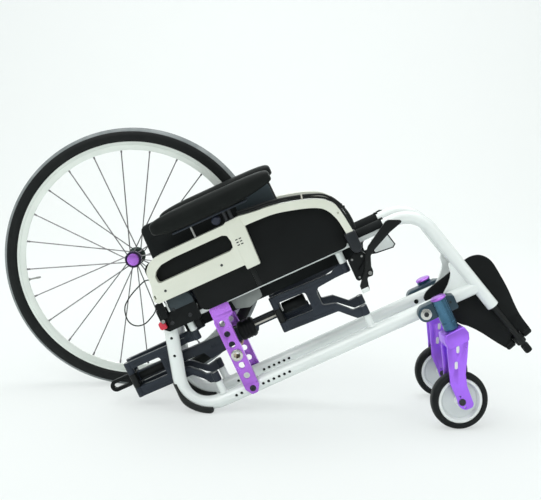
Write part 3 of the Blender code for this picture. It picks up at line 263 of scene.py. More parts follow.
def lathe(name, profile, centre=(0, 0, 0), sides=40, axis=(0, 1, 0)):
    """A turned piece. The profile is a closed line of (distance from the axis, place along it)."""
    bpy.ops.object.select_all(action="DESELECT")
    bpy.ops.mesh.primitive_circle_add(vertices=len(profile), fill_type="NOTHING")
    piece = bpy.context.object
    piece.name = name
    for vert, (radius, along) in zip(piece.data.vertices, profile):
        vert.co = (radius, 0, along)
    edit_whole_mesh()
    bpy.ops.mesh.spin(steps=sides, angle=2 * math.pi, center=(0, 0, 0), axis=(0, 0, 1))
    bpy.ops.mesh.select_all(action="SELECT")
    bpy.ops.mesh.remove_doubles(threshold=0.000002)
    bpy.ops.mesh.normals_make_consistent(inside=False)
    bpy.ops.object.mode_set(mode="OBJECT")
    turn = Vector((0, 0, 1)).rotation_difference(Vector(axis)).to_matrix().to_4x4()
    piece.data.transform(Matrix.Translation(centre) @ turn)
    return piece


def peg(name, start, end, radius, sides=24, edge=0.0004):
    """A round bar with rounded ends."""
    start = Vector(start)
    way = Vector(end) - start
    length = way.length
    profile = [
        (0, 0), (radius - edge, 0), (radius, edge), (radius, length - edge), (radius - edge, length),
        (0, length),
    ]
    return lathe(name, profile, start, sides, way.normalized())


def bent_tube(name, points, radius, sides=24, shares=()):
    """A round tube along a line of points, each with its own share of the radius if shares are given."""
    bpy.ops.object.select_all(action="DESELECT")
    bpy.ops.curve.primitive_bezier_curve_add()
    piece = bpy.context.object
    piece.name = name
    line = piece.data
    line.splines.clear()
    line.dimensions = "3D"
    line.bevel_depth = radius
    line.bevel_resolution = max(1, (sides - 4) // 2)
    line.use_fill_caps = True
    spline = line.splines.new("POLY")
    spline.points.add(len(points) - 1)
    for target, point in zip(spline.points, points):
        target.co = (*point, 1)
    for target, share in zip(spline.points, shares):
        target.radius = share
    choose(piece)
    bpy.ops.object.convert(target="MESH")
    piece = bpy.context.object
    edit_whole_mesh()
    bpy.ops.mesh.remove_doubles(threshold=0.000002)
    bpy.ops.mesh.normals_make_consistent(inside=False)
    bpy.ops.object.mode_set(mode="OBJECT")
    return piece


def box_piece(name, low, high, edge=0.0006, steps=2):
    bpy.ops.object.select_all(action="DESELECT")
    centre = [(a + b) / 2 for a, b in zip(low, high)]
    size = [b - a for a, b in zip(low, high)]
    bpy.ops.mesh.primitive_cube_add(size=1)
    piece = bpy.context.object
    piece.name = name
    piece.data.transform(Matrix.Translation(centre) @ Matrix.Diagonal((*size, 1)))
    if edge:
        round_edges(piece, edge, steps)
    return piece


def joined(name, *pieces):
    choose(*pieces)
    bpy.ops.object.join()
    piece = bpy.context.object
    piece.name = name
    return piece


def cut_away(piece, *cutters):
    """Cuts the shapes out of the piece."""
    for cutter in cutters:
        apply_modifier(piece, "BOOLEAN", object=cutter, operation="DIFFERENCE", solver="EXACT")
        bpy.data.objects.remove(cutter)


def arc(centre, radius, start, end, steps):
    points = []
    for index in range(steps + 1):
        angle = start + (end - start) * index / steps
        points.append((centre[0] + radius * math.cos(angle), centre[1] + radius * math.sin(angle)))
    return points


def stadium(half_length, half_width, steps=8):
    """A long rounded slot round the origin, along its first axis."""
    straight = half_length - half_width
    points = arc((straight, 0), half_width, -math.pi / 2, math.pi / 2, steps)
    return points + arc((-straight, 0), half_width, math.pi / 2, 3 * math.pi / 2, steps)


def screw_head(radius, rise, top, height, hollow, floor):
    """Profile of a screw head with a round hollow in its top."""
    return [
        (0, 0), (radius, 0), (radius, rise), (top, height), (hollow, height),
        (hollow - 0.0002, floor + 0.0002), (0, floor),
    ]


def in_plane(points, out=0.0):
    return [(x, out, z) for x, z in points]


def through(points, steps):
    """A smooth curve through the points, read off at even steps."""
    places = [Vector(point) for point in points]
    curve = []
    for index in range(len(places) - 1):
        before = places[max(index - 1, 0)]
        first = places[index]
        second = places[index + 1]
        after = places[min(index + 2, len(places) - 1)]
        for step in range(steps):
            t = step / steps
            curve.append(
                0.5 * (
                    2 * first + (second - before) * t
                    + (2 * before - 5 * first + 4 * second - after) * t ** 2
                    + (3 * first - before - 3 * second + after) * t ** 3
                )
            )
    curve.append(places[-1])
    return [tuple(point) for point in curve]


def mount(piece, space, material, body, nodes=(), angle=35):
    """Puts a modelled piece in its place, gives it its material and lets it ride on its body."""
    piece.data.transform(space)
    if space.determinant() < 0:
        piece.data.flip_normals()
    piece.data.materials.clear()
    piece.data.materials.append(bpy.data.materials[material])
    choose(piece)
    bpy.ops.object.shade_smooth_by_angle(angle=math.radians(angle))
    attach(piece, body)
    if nodes:
        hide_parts(*nodes)


# Materials


def new_group(name, inputs, outputs):
    group = bpy.data.node_groups.new(name, "ShaderNodeTree")
    for label, kind, value in inputs:
        socket = group.interface.new_socket(name=label, in_out="INPUT", socket_type=kind)
        socket.default_value = value
    for label, kind in outputs:
        group.interface.new_socket(name=label, in_out="OUTPUT", socket_type=kind)
    return group, group.nodes.new("NodeGroupInput"), group.nodes.new("NodeGroupOutput")


def object_coordinates(tree):
    """Object coordinates turned into line with the chair's tubes."""
    place = tree.nodes.new("ShaderNodeTexCoord")
    turn = tree.nodes.new("ShaderNodeMapping")
    turn.inputs["Rotation"].default_value = (0, CHAIR_TILT, 0)
    tree.links.new(place.outputs["Object"], turn.inputs["Vector"])
    return turn.outputs["Vector"]


def math_node(tree, operation, *values):
    node = tree.nodes.new("ShaderNodeMath")
    node.operation = operation
    for socket, value in zip(node.inputs, values):
        if isinstance(value, bpy.types.NodeSocket):
            tree.links.new(value, socket)
        else:
            socket.default_value = value
    return node.outputs["Value"]


def noise_node(tree, vector, scale, detail=3.0):
    node = tree.nodes.new("ShaderNodeTexNoise")
    node.inputs["Detail"].default_value = detail
    tree.links.new(vector, node.inputs["Vector"])
    if isinstance(scale, bpy.types.NodeSocket):
        tree.links.new(scale, node.inputs["Scale"])
    else:
        node.inputs["Scale"].default_value = scale
    return node.outputs["Fac"]


def make_uneven_group():
    group, entry, out = new_group(
        "Uneven Finish",
        [
            ("Colour", "NodeSocketColor", (0.5, 0.5, 0.5, 1)),
            ("Second Colour", "NodeSocketColor", (0.4, 0.4, 0.4, 1)),
            ("Patch Scale", "NodeSocketFloat", 12.0), ("Roughness", "NodeSocketFloat", 0.4),
            ("Roughness Spread", "NodeSocketFloat", 0.1),
        ],
        [("Colour", "NodeSocketColor"), ("Roughness", "NodeSocketFloat")],
    )
    place = object_coordinates(group)
    patches = noise_node(group, place, entry.outputs["Patch Scale"], 5.0)
    spread = group.nodes.new("ShaderNodeMapRange")
    spread.inputs["From Min"].default_value = 0.35
    spread.inputs["From Max"].default_value = 0.65
    group.links.new(patches, spread.inputs["Value"])
    mix = group.nodes.new("ShaderNodeMix")
    mix.data_type = "RGBA"
    group.links.new(spread.outputs["Result"], mix.inputs["Factor"])
    group.links.new(entry.outputs["Colour"], mix.inputs["A"])
    group.links.new(entry.outputs["Second Colour"], mix.inputs["B"])
    group.links.new(mix.outputs["Result"], out.inputs["Colour"])
    centred = math_node(group, "SUBTRACT", patches, 0.5)
    swing = math_node(group, "MULTIPLY", centred, entry.outputs["Roughness Spread"])
    total = math_node(group, "ADD", swing, entry.outputs["Roughness"])
    group.links.new(total, out.inputs["Roughness"])


def make_grain_group():
    group, entry, out = new_group(
        "Fine Grain", [("Scale", "NodeSocketFloat", 900.0), ("Stretch", "NodeSocketFloat", 1.0)],
        [("Height", "NodeSocketFloat")],
    )
    place = object_coordinates(group)
    stretch = group.nodes.new("ShaderNodeVectorMath")
    stretch.operation = "MULTIPLY"
    sizes = group.nodes.new("ShaderNodeCombineXYZ")
    group.links.new(entry.outputs["Stretch"], sizes.inputs["X"])
    sizes.inputs["Y"].default_value = 1.0
    sizes.inputs["Z"].default_value = 1.0
    group.links.new(place, stretch.inputs[0])
    group.links.new(sizes.outputs["Vector"], stretch.inputs[1])
    coarse = noise_node(group, stretch.outputs["Vector"], entry.outputs["Scale"], 4.0)
    group.links.new(coarse, out.inputs["Height"])


def make_weave_group():
    group, entry, out = new_group(
        "Woven Cloth", [("Thread Scale", "NodeSocketFloat", 300.0)],
        [("Height", "NodeSocketFloat"), ("Threads", "NodeSocketFloat")],
    )
    place = object_coordinates(group)
    waves = []
    for direction in ("X", "Z"):
        wave = group.nodes.new("ShaderNodeTexWave")
        wave.bands_direction = direction
        wave.inputs["Distortion"].default_value = 0.6
        wave.inputs["Detail"].default_value = 1.0
        group.links.new(place, wave.inputs["Vector"])
        group.links.new(entry.outputs["Thread Scale"], wave.inputs["Scale"])
        waves.append(wave.outputs["Fac"])
    top = math_node(group, "MAXIMUM", *waves)
    group.links.new(top, out.inputs["Height"])
    group.links.new(math_node(group, "MULTIPLY", *waves), out.inputs["Threads"])


def make_flake_group():
    group, entry, out = new_group(
        "Pearl Flake",
        [
            ("Colour", "NodeSocketColor", (0.8, 0.8, 0.8, 1)), ("Flake Scale", "NodeSocketFloat", 2600.0),
            ("Strength", "NodeSocketFloat", 0.06),
        ],
        [("Colour", "NodeSocketColor")],
    )
    place = object_coordinates(group)
    cells = group.nodes.new("ShaderNodeTexVoronoi")
    group.links.new(place, cells.inputs["Vector"])
    group.links.new(entry.outputs["Flake Scale"], cells.inputs["Scale"])
    shine = group.nodes.new("ShaderNodeMix")
    shine.data_type = "RGBA"
    shine.blend_type = "SOFT_LIGHT"
    group.links.new(entry.outputs["Strength"], shine.inputs["Factor"])
    group.links.new(entry.outputs["Colour"], shine.inputs["A"])
    group.links.new(cells.outputs["Color"], shine.inputs["B"])
    group.links.new(shine.outputs["Result"], out.inputs["Colour"])


def place_group(tree, name, **values):
    node = tree.nodes.new("ShaderNodeGroup")
    node.node_tree = bpy.data.node_groups[name]
    for label, value in values.items():
        node.inputs[label.replace("_", " ")].default_value = value
    return node


COAT_ROUGHNESS = 0.08
BUMP_HEIGHT = 0.0006
THREAD_LIGHT = (1.6, 1.6, 1.65, 1.0)


def shades(colour, *shares):
    """The colour with its red, green and blue each taken times a share, or all times one."""
    return [part * share for part, share in zip(colour, shares if len(shares) > 1 else shares * 3)]


def finish(
    name, colour, second=None, patch=14.0, roughness=0.4, spread=0.12, metallic=0.0, coat=0.0,
    grain=900.0, depth=0.05, stretch=1.0, weave=0.0, flake=0.0, sheen=0.0, specular=0.5,
):
    """A material whose colour, gloss and surface vary as the real finish does."""
    material = bpy.data.materials.new(name)
    material.use_nodes = True
    tree = material.node_tree
    shader = tree.nodes["Principled BSDF"]
    colour = (*tuple(colour)[:3], 1.0)
    second = (*tuple(second)[:3], 1.0) if second else tuple(c * 0.86 for c in colour[:3]) + (1.0,)
    uneven = place_group(
        tree, "Uneven Finish", Colour=colour, Second_Colour=second, Patch_Scale=patch, Roughness=roughness,
        Roughness_Spread=spread,
    )
    tint = uneven.outputs["Colour"]
    if flake:
        pearl = place_group(tree, "Pearl Flake", Strength=flake)
        tree.links.new(tint, pearl.inputs["Colour"])
        tint = pearl.outputs["Colour"]
    tree.links.new(uneven.outputs["Roughness"], shader.inputs["Roughness"])
    bump = tree.nodes.new("ShaderNodeBump")
    bump.inputs["Strength"].default_value = depth
    bump.inputs["Distance"].default_value = BUMP_HEIGHT
    if weave:
        cloth = place_group(tree, "Woven Cloth", Thread_Scale=weave)
        tree.links.new(cloth.outputs["Height"], bump.inputs["Height"])
        darker = tree.nodes.new("ShaderNodeMix")
        darker.data_type = "RGBA"
        darker.blend_type = "MULTIPLY"
        tree.links.new(cloth.outputs["Threads"], darker.inputs["Factor"])
        tree.links.new(tint, darker.inputs["A"])
        darker.inputs["B"].default_value = THREAD_LIGHT
        tint = darker.outputs["Result"]
    else:
        fine = place_group(tree, "Fine Grain", Scale=grain, Stretch=stretch)
        tree.links.new(fine.outputs["Height"], bump.inputs["Height"])
    tree.links.new(bump.outputs["Normal"], shader.inputs["Normal"])
    tree.links.new(tint, shader.inputs["Base Color"])
    shader.inputs["Metallic"].default_value = metallic
    shader.inputs["Coat Weight"].default_value = coat
    shader.inputs["Coat Roughness"].default_value = COAT_ROUGHNESS
    shader.inputs["Sheen Weight"].default_value = sheen
    shader.inputs["Specular IOR Level"].default_value = specular
    return material


class WHEELCHAIR_OT_materials(bpy.types.Operator):
    """Make the paints, metals, plastics, rubbers and cloths"""
    bl_idname = "wheelchair.materials"
    bl_label = "Materials"

    def execute(self, context):
        colours = context.scene.wheelchair_colours
        make_uneven_group()
        make_grain_group()
        make_weave_group()
        make_flake_group()
        paint = colours.frame_paint
        finish(
            "Pearl Paint", paint, shades(paint, 0.95), 9, 0.26, 0.06, coat=0.7, grain=260, depth=0.02,
            flake=0.1,
        )
        finish(
            "Armrest Paint", (0.72, 0.735, 0.645), (0.685, 0.7, 0.61), 9, 0.3, 0.06, coat=0.5, grain=260,
            depth=0.02, flake=0.08,
        )
        violet = colours.anodised
        finish(
            "Purple Anodising", violet, shades(violet, 0.85), 22, 0.3, 0.12, metallic=0.72, grain=1500,
            depth=0.05, stretch=0.2,
        )
        finish(
            "Plate Anodising", shades(violet, 1.14, 1.1, 0.82), shades(violet, 1.0, 0.9, 0.7), 22, 0.28,
            0.12, metallic=0.72, grain=1500, depth=0.05,
        )
        slate = colours.slate
        finish(
            "Slate Coating", slate, shades(slate, 1.3), 26, 0.4, 0.14, metallic=0.1, grain=1300, depth=0.12,
            specular=0.32,
        )
        finish(
            "Housing Coating", (0.07, 0.165, 0.26), (0.05, 0.125, 0.205), 26, 0.24, 0.1, metallic=0.88,
            grain=1300, depth=0.06, specular=0.4,
        )
        finish(
            "Grey Plastic", (0.21, 0.225, 0.22), (0.16, 0.175, 0.17), 30, 0.45, 0.12, grain=1100, depth=0.1,
        )
        finish(
            "Navy Plastic", (0.006, 0.009, 0.022), (0.01, 0.014, 0.034), 30, 0.3, 0.1, grain=1100,
            depth=0.06,
        )
        finish(
            "Cap Coating", (0.036, 0.05, 0.058), (0.028, 0.04, 0.048), 20, 0.42, 0.12, grain=1100,
            depth=0.1, specular=0.3,
        )
        black = colours.plastic
        finish(
            "Black Plastic", shades(black, 0.8), shades(black, 1.1), 20, 0.44, 0.14, grain=1100, depth=0.16,
            specular=0.14,
        )
        finish(
            "Black Coating", shades(black, 0.9), None, 18, 0.34, 0.12, grain=1400, depth=0.08, specular=0.25,
        )
        finish(
            "Guard Plastic", shades(black, 0.7), shades(black, 0.95), 11, 0.42, 0.12, grain=700, depth=0.1,
            specular=0.14,
        )
        finish(
            "Pad Foam", (0.0042, 0.0056, 0.0053), (0.0064, 0.008, 0.0076), 30, 0.52, 0.16, grain=650,
            depth=0.28, specular=0.14,
        )
        cloth = colours.cloth
        finish(
            "Back Cloth", cloth, shades(cloth, 1.5), 24, 0.78, 0.12, weave=230, depth=0.45, sheen=0.05,
            specular=0.15,
        )
        finish(
            "Seat Cloth", cloth, shades(cloth, 1.3), 24, 0.82, 0.12, weave=320, depth=0.4, sheen=0.05,
            specular=0.15,
        )
        finish(
            "Bumper Rubber", (0.0085, 0.0105, 0.01), (0.013, 0.015, 0.015), 40, 0.42, 0.16, grain=800,
            depth=0.12, specular=0.3,
        )
        finish(
            "Tyre Rubber", (0.0052, 0.0066, 0.007), (0.0085, 0.01, 0.0102), 30, 0.5, 0.16, grain=900,
            depth=0.18, specular=0.2,
        )
        # The tread's pale grey is painted highlight: the light that the curved tread reflects is painted into
        # its colour.
        finish(
            "Tread Painted Highlight", (0.25, 0.27, 0.275), (0.17, 0.19, 0.195), 34, 0.5, 0.14, grain=900, depth=0.2,
            specular=0.3,
        )
        finish(
            "Polished Steel", (0.62, 0.61, 0.59), (0.54, 0.53, 0.51), 20, 0.24, 0.14, metallic=1.0,
            grain=1600, depth=0.04, stretch=0.15,
        )
        finish(
            "Spoke Steel", (0.28, 0.27, 0.28), (0.2, 0.19, 0.2), 40, 0.34, 0.16, metallic=1.0, grain=1200,
            depth=0.05,
        )
        finish(
            "Zinc Bolt", (0.36, 0.36, 0.35), (0.26, 0.26, 0.26), 40, 0.34, 0.16, metallic=1.0, grain=1200,
            depth=0.08,
        )
        finish(
            "Dark Bolt", (0.022, 0.024, 0.027), (0.035, 0.037, 0.041), 40, 0.36, 0.16, metallic=0.5,
            grain=1200, depth=0.1,
        )
        finish(
            "Rim Alloy", (0.82, 0.86, 0.82), (0.76, 0.8, 0.76), 16, 0.3, 0.12, metallic=0.25, coat=0.3,
            grain=700, depth=0.03,
        )
        finish(
            "Clamp Coating", (0.026, 0.052, 0.074), (0.034, 0.066, 0.092), 26, 0.32, 0.1, metallic=0.4,
            grain=1300, depth=0.05,
        )
        # The caster web's grey is painted shade: the recessed middle of the disc is drawn darker than the
        # rim.
        finish(
            "Web Painted Shade", (0.66, 0.69, 0.69), (0.62, 0.65, 0.66), 12, 0.3, 0.06, metallic=0.3, grain=900,
            depth=0.012,
        )
        finish(
            "Caster Rim", (0.84, 0.87, 0.86), (0.78, 0.81, 0.8), 24, 0.36, 0.12, metallic=0.1, grain=900,
            depth=0.05,
        )
        finish(
            "Dark Anodising", (0.03, 0.016, 0.055), (0.022, 0.012, 0.04), 24, 0.34, 0.12, metallic=0.7,
            grain=1200, depth=0.05,
        )
        finish(
            "Far Flange", (0.045, 0.065, 0.055), (0.03, 0.045, 0.04), 24, 0.36, 0.12, metallic=0.6,
            grain=1200, depth=0.05,
        )
        finish(
            "Gold Sleeve", (0.62, 0.5, 0.3), (0.52, 0.42, 0.26), 24, 0.3, 0.14, metallic=1.0, grain=1400,
            depth=0.04,
        )
        finish("Red Button", colours.button, None, 24, 0.34, 0.08, coat=0.3, grain=900, depth=0.05)
        finish(
            "Cable Sheath", (0.0065, 0.0078, 0.008), (0.01, 0.0115, 0.0118), 60, 0.4, 0.12, grain=1400,
            depth=0.1, specular=0.28,
        )
        finish(
            "Socket Plastic", (0.007, 0.0095, 0.013), (0.01, 0.013, 0.017), 40, 0.34, 0.12, grain=1200,
            depth=0.08, specular=0.35,
        )
        finish("Cream Strap", (0.6, 0.58, 0.52), (0.5, 0.48, 0.43), 50, 0.6, 0.1, grain=1400, depth=0.2)
        return {"FINISHED"}


# The side frames


def rear_tube_line():
    start_x = FRONT_CORNER_X + SEAT_TUBE_Z * math.tan(FRONT_LEAN)
    bend = arc(BUMPER_CENTRE, REAR_BEND, -math.pi / 2, -math.pi - UPRIGHT_LEAN, BEND_STEPS)
    top = bend[-1]
    for index, (x, z) in enumerate(bend):
        reach = 1 + BEND_SQUEEZE / REAR_BEND * math.sin(math.pi * index / BEND_STEPS) ** 2
        centre_x, centre_z = BUMPER_CENTRE
        bend[index] = (centre_x + (x - centre_x) * reach, centre_z + (z - centre_z) * reach)
    rise = (SEAT_TUBE_Z - top[1]) / math.cos(UPRIGHT_LEAN)
    corner_x = top[0] + rise * math.sin(UPRIGHT_LEAN)
    reach = UPRIGHT_BEND * math.tan((math.pi / 2 - UPRIGHT_LEAN) / 2)
    corner_centre = (corner_x + reach, SEAT_TUBE_Z - UPRIGHT_BEND)
    corner = arc(corner_centre, UPRIGHT_BEND, math.pi - UPRIGHT_LEAN, math.pi / 2, 14)
    return [(start_x, 0.0)] + bend + corner


def front_tube_line():
    reach = FRONT_BEND * math.tan((math.pi / 2 - FRONT_LEAN) / 2)
    centre = (FRONT_CORNER_X - reach, SEAT_TUBE_Z - FRONT_BEND)
    bend = arc(centre, FRONT_BEND, math.pi / 2, FRONT_LEAN, 22)
    return [(REAR_LUG_X - 0.03, SEAT_TUBE_Z)] + bend + [SLEEVE_END]


FRONT_WAY = Vector((math.sin(FRONT_LEAN), 0, -math.cos(FRONT_LEAN)))


def along_hanger(distance):
    return Vector((SLEEVE_END[0], 0, SLEEVE_END[1])) + FRONT_WAY * distance


TUBE_HOLES = (-0.0347, -0.0222, 0.0289, 0.0414, 0.0538, 0.0662, 0.0787, 0.091)
UPRIGHT_HOLES = ((-0.1081, 0.1716), (-0.1187, 0.134))
FRAME_HOLES = tuple((x, 0.0) for x in TUBE_HOLES) + UPRIGHT_HOLES
FRAME_HOLE = 0.0033


class WHEELCHAIR_OT_side_frames(bpy.types.Operator):
    """Model the welded tube frames with their drilled holes, lugs and fold pins"""
    bl_idname = "wheelchair.side_frames"
    bl_label = "Side Frames"

    def execute(self, context):
        for side, sign in SIDES.items():
            self.add_side(side, sign)
        return {"FINISHED"}

    def add_side(self, side, sign):
        sides = bpy.context.scene.wheelchair_sizes.tube_sides
        space = side_space(sign)
        body = f"{side}_side"
        line = rear_tube_line()
        squeeze = BEND_SQUEEZE / LOWER_TUBE
        shares = [
            1 - squeeze * math.sin(math.pi * index / BEND_STEPS) ** 2 for index in range(BEND_STEPS + 1)
        ]
        shares = [1.0] + shares + [1.0] * (len(line) - len(shares) - 1)
        lower = bent_tube(f"{side}_lower_tube", in_plane(line), LOWER_TUBE, sides, shares)
        drills = []
        for x, z in FRAME_HOLES:
            for way in (-1, 1):
                drills.append(peg("drill", (x, way * 0.011, z), (x, way * 0.03, z), FRAME_HOLE, 16, 0.0))
        cut_away(lower, joined("drills", *drills))
        mount(lower, space, "Pearl Paint", body, [f"{side}_side_frame"])
        upper = bent_tube(f"{side}_seat_tube", in_plane(front_tube_line()), SEAT_TUBE, sides)
        mount(upper, space, "Pearl Paint", body)
        # Dark discs a little inside each drilled hole are painted shade: they stand for the shadowed inside
        # of the blind holes. The last disc, "end", sits on the tube's inboard face.
        hole_shades_and_end = []
        for x, z in FRAME_HOLES:
            for way in (-1, 1):
                hole_shades_and_end.append(peg(
                    "plug", (x, way * 0.0104, z), (x, way * 0.0116, z), FRAME_HOLE + 0.0003, 16, 0.0002,
                ))
        hole_shades_and_end.append(peg("end", (0.404, -0.0145, 0), (0.404, -0.0168, 0), 0.005, 24, 0.0008))
        mount(joined(f"{side}_hole_shade_discs_and_end", *hole_shades_and_end), space, "Black Plastic", body)
        gusset = [
            (0.45, 0.008), (0.475, 0.028), (0.485, 0.0395), (0.491, 0.049), (0.494, 0.072), (0.512, 0.072),
            (0.5305, 0.0),
        ]
        web = cut_plate(f"{side}_front_gusset", soften(gusset, 0.01), -0.004, 0.004, 0.0012)
        mount(web, space, "Pearl Paint", body)
        lugs = []
        for x in (FRONT_LUG_X, REAR_LUG_X):
            lugs.append(peg("lug", (x, 0, 0.006), (x, 0, 0.042), LUG_RADIUS, 32, 0.001))
            lugs.append(peg("lug", (x, 0, 0.165), (x, 0, SEAT_TUBE_Z - 0.006), LUG_RADIUS, 32, 0.001))
        mount(joined(f"{side}_fold_lugs", *lugs), space, "Pearl Paint", body)
        beads = []
        for x in (FRONT_LUG_X, REAR_LUG_X):
            for z, way in ((0.0142, 1), (SEAT_TUBE_Z - 0.0128, -1)):
                bead = [(0.007, 0), (0.0108, 0), (0.0103, 0.0011), (0.0088, 0.0022), (0.007, 0.0026)]
                beads.append(lathe("bead", bead, (x, 0, z), 32, (0, 0, way)))
        mount(joined(f"{side}_lug_welds", *beads), space, "Pearl Paint", body, angle=80)
        pins = []
        for x in (FRONT_LUG_X, REAR_LUG_X):
            pins.append(peg("pin", (x, 0, 0.04), (x, 0, 0.0625), PIN_RADIUS, 20))
            pins.append(peg("pin", (x, 0, 0.1445), (x, 0, 0.167), PIN_RADIUS, 20))
        mount(joined(f"{side}_fold_pins", *pins), space, "Zinc Bolt", body)
        stop = box_piece(f"{side}_rear_stop_block", (-0.0495, -0.01, 0.169), (-0.036, 0.009, 0.1905), 0.0012)
        mount(stop, space, "Black Plastic", body)


class WHEELCHAIR_OT_bumpers(bpy.types.Operator):
    """Model the rubber strips round the rear bends"""
    bl_idname = "wheelchair.bumpers"
    bl_label = "Bumpers"

    def execute(self, context):
        for side, sign in SIDES.items():
            self.add_side(side, sign)
        return {"FINISHED"}

    def add_side(self, side, sign):
        shell = 0.0152
        profile = [
            (REAR_BEND + r, out) for r, out in arc((0, 0), shell, math.radians(-62), math.radians(62), 16)
        ]
        profile += [(0.08, 0.0156), (0.086, 0.0148), (0.0905, 0.0122), (0.0928, 0.008), (0.0928, 0.0)]
        profile += [(radius, -out) for radius, out in reversed(profile[17:21])]
        start = math.radians(174.7)
        reach = math.radians(75.3)
        bpy.ops.object.select_all(action="DESELECT")
        bpy.ops.mesh.primitive_circle_add(vertices=len(profile), fill_type="NGON")
        strip = bpy.context.object
        strip.name = f"{side}_bumper_strip"
        for vert, (radius, out) in zip(strip.data.vertices, profile):
            vert.co = (radius * math.cos(start), out, radius * math.sin(start))
        edit_whole_mesh()
        bpy.ops.mesh.spin(steps=44, angle=reach, center=(0, 0, 0), axis=(0, 1, 0))
        bpy.ops.mesh.select_all(action="SELECT")
        bpy.ops.mesh.normals_make_consistent(inside=False)
        bpy.ops.object.mode_set(mode="OBJECT")
        for vert in strip.data.vertices:
            radius = math.hypot(vert.co.x, vert.co.z)
            angle = math.atan2(vert.co.z, vert.co.x) % (2 * math.pi)
            share = (angle - start) / reach
            swell = min(1.0, max(0.0, (share - 0.1) / 0.38))
            swell *= swell * (3 - 2 * swell)
            if share > 0.93:
                swell *= 1 - 0.55 * ((share - 0.93) / 0.07) ** 2
            around = math.atan2(vert.co.y, radius - REAR_BEND)
            thick = math.hypot(vert.co.y, radius - REAR_BEND)
            if thick > shell + 0.0004:
                thick = shell + 0.0022 + (thick - shell - 0.0022) * swell
            radius = REAR_BEND + thick * math.cos(around)
            vert.co = (
                BUMPER_CENTRE[0] + radius * math.cos(angle), thick * math.sin(around),
                BUMPER_CENTRE[1] + radius * math.sin(angle),
            )
        round_edges(strip, 0.0012, 2, 50)
        mount(
            strip, side_space(sign), "Bumper Rubber", f"{side}_side", [f"{side}_bumper"],
            angle=45,
        )


class WHEELCHAIR_OT_axle_plates(bpy.types.Operator):
    """Model the drilled axle plates with their flanges, bolts and receiver sleeves"""
    bl_idname = "wheelchair.axle_plates"
    bl_label = "Axle Plates"

    def execute(self, context):
        for side, sign in SIDES.items():
            self.add_side(side, sign)
        return {"FINISHED"}

    def add_side(self, side, sign):
        outline = [
            (-0.002, -0.011), (0.012, -0.011), (0.021, 0.004), (0.021, 0.163), (0.036, 0.168), (0.036, 0.196),
            (-0.009, 0.196), (-0.009, 0.168), (-0.011, 0.163), (-0.011, 0.004),
        ]
        space = side_space(sign)
        body = f"{side}_side"
        plate = cut_plate(f"{side}_drilled_plate", soften(outline, 0.006), BRACKET_OUT, PLATE_OUTER, 0.0)
        drills = []
        for z in (0.032, 0.057, 0.1065, 0.131, 0.156):
            drills.append(peg("drill", (AXLE_X, 0.01, z), (AXLE_X, 0.03, z), 0.0069, 32, 0.0))
        drills.append(peg("drill", (AXLE_X, 0.01, AXLE_Z), (AXLE_X, 0.03, AXLE_Z), 0.0103, 36, 0.0))
        for z in (0.0115, 0.1675, 0.1755):
            drills.append(box_piece(
                "crease", (-0.03, PLATE_OUTER - 0.0005, z), (0.05, PLATE_OUTER + 0.01, z + 0.0009), 0,
            ))
        cut_away(plate, *drills)
        round_edges(plate, 0.0009, 2)
        mount(plate, space, "Plate Anodising", body, [f"{side}_axle_plate"])
        flanges = []
        for low, high in ((-0.011, -0.0085), (0.0185, 0.021)):
            flanges.append(box_piece(
                "flange", (low, BRACKET_OUT - 0.008, 0.02), (high, BRACKET_OUT + 0.001, 0.16), 0.0007,
            ))
        mount(joined(f"{side}_plate_flanges", *flanges), space, "Plate Anodising", body)
        x, z = (0.005, 0.001)
        profile = [(0, 0), (0.0068, 0), (0.0068, 0.0008), (0, 0.0008)]
        washer = lathe("washer", profile, (x, PLATE_OUTER - 0.0001, z), 32)
        profile = screw_head(0.0052, 0.0024, 0.0042, 0.0034, 0.0026, 0.0014)
        head = lathe("head", profile, (x, PLATE_OUTER + 0.0006, z), 28)
        mount(joined(f"{side}_plate_bolts", washer, head), space, "Dark Bolt", body)
        bore = 0.0066
        nut_face = PLATE_OUTER + 0.0003
        sleeve = [(bore, -0.012), (0.0094, -0.012), (0.01, -0.0114), (0.01, nut_face), (bore, nut_face)]
        tube = lathe(f"{side}_receiver_sleeve", sleeve, (AXLE_X, 0, AXLE_Z), 40)
        mount(tube, space, "Gold Sleeve", body, [f"{side}_axle_sleeve"])
        ring = [
            (bore, 0), (0.0128, 0), (0.0128, 0.0028), (0.0112, 0.0037), (bore + 0.0006, 0.0037),
            (bore, 0.0031),
        ]
        nut = lathe(f"{side}_receiver_nut", ring, (AXLE_X, nut_face, AXLE_Z), 40)
        mount(nut, space, "Polished Steel", body)


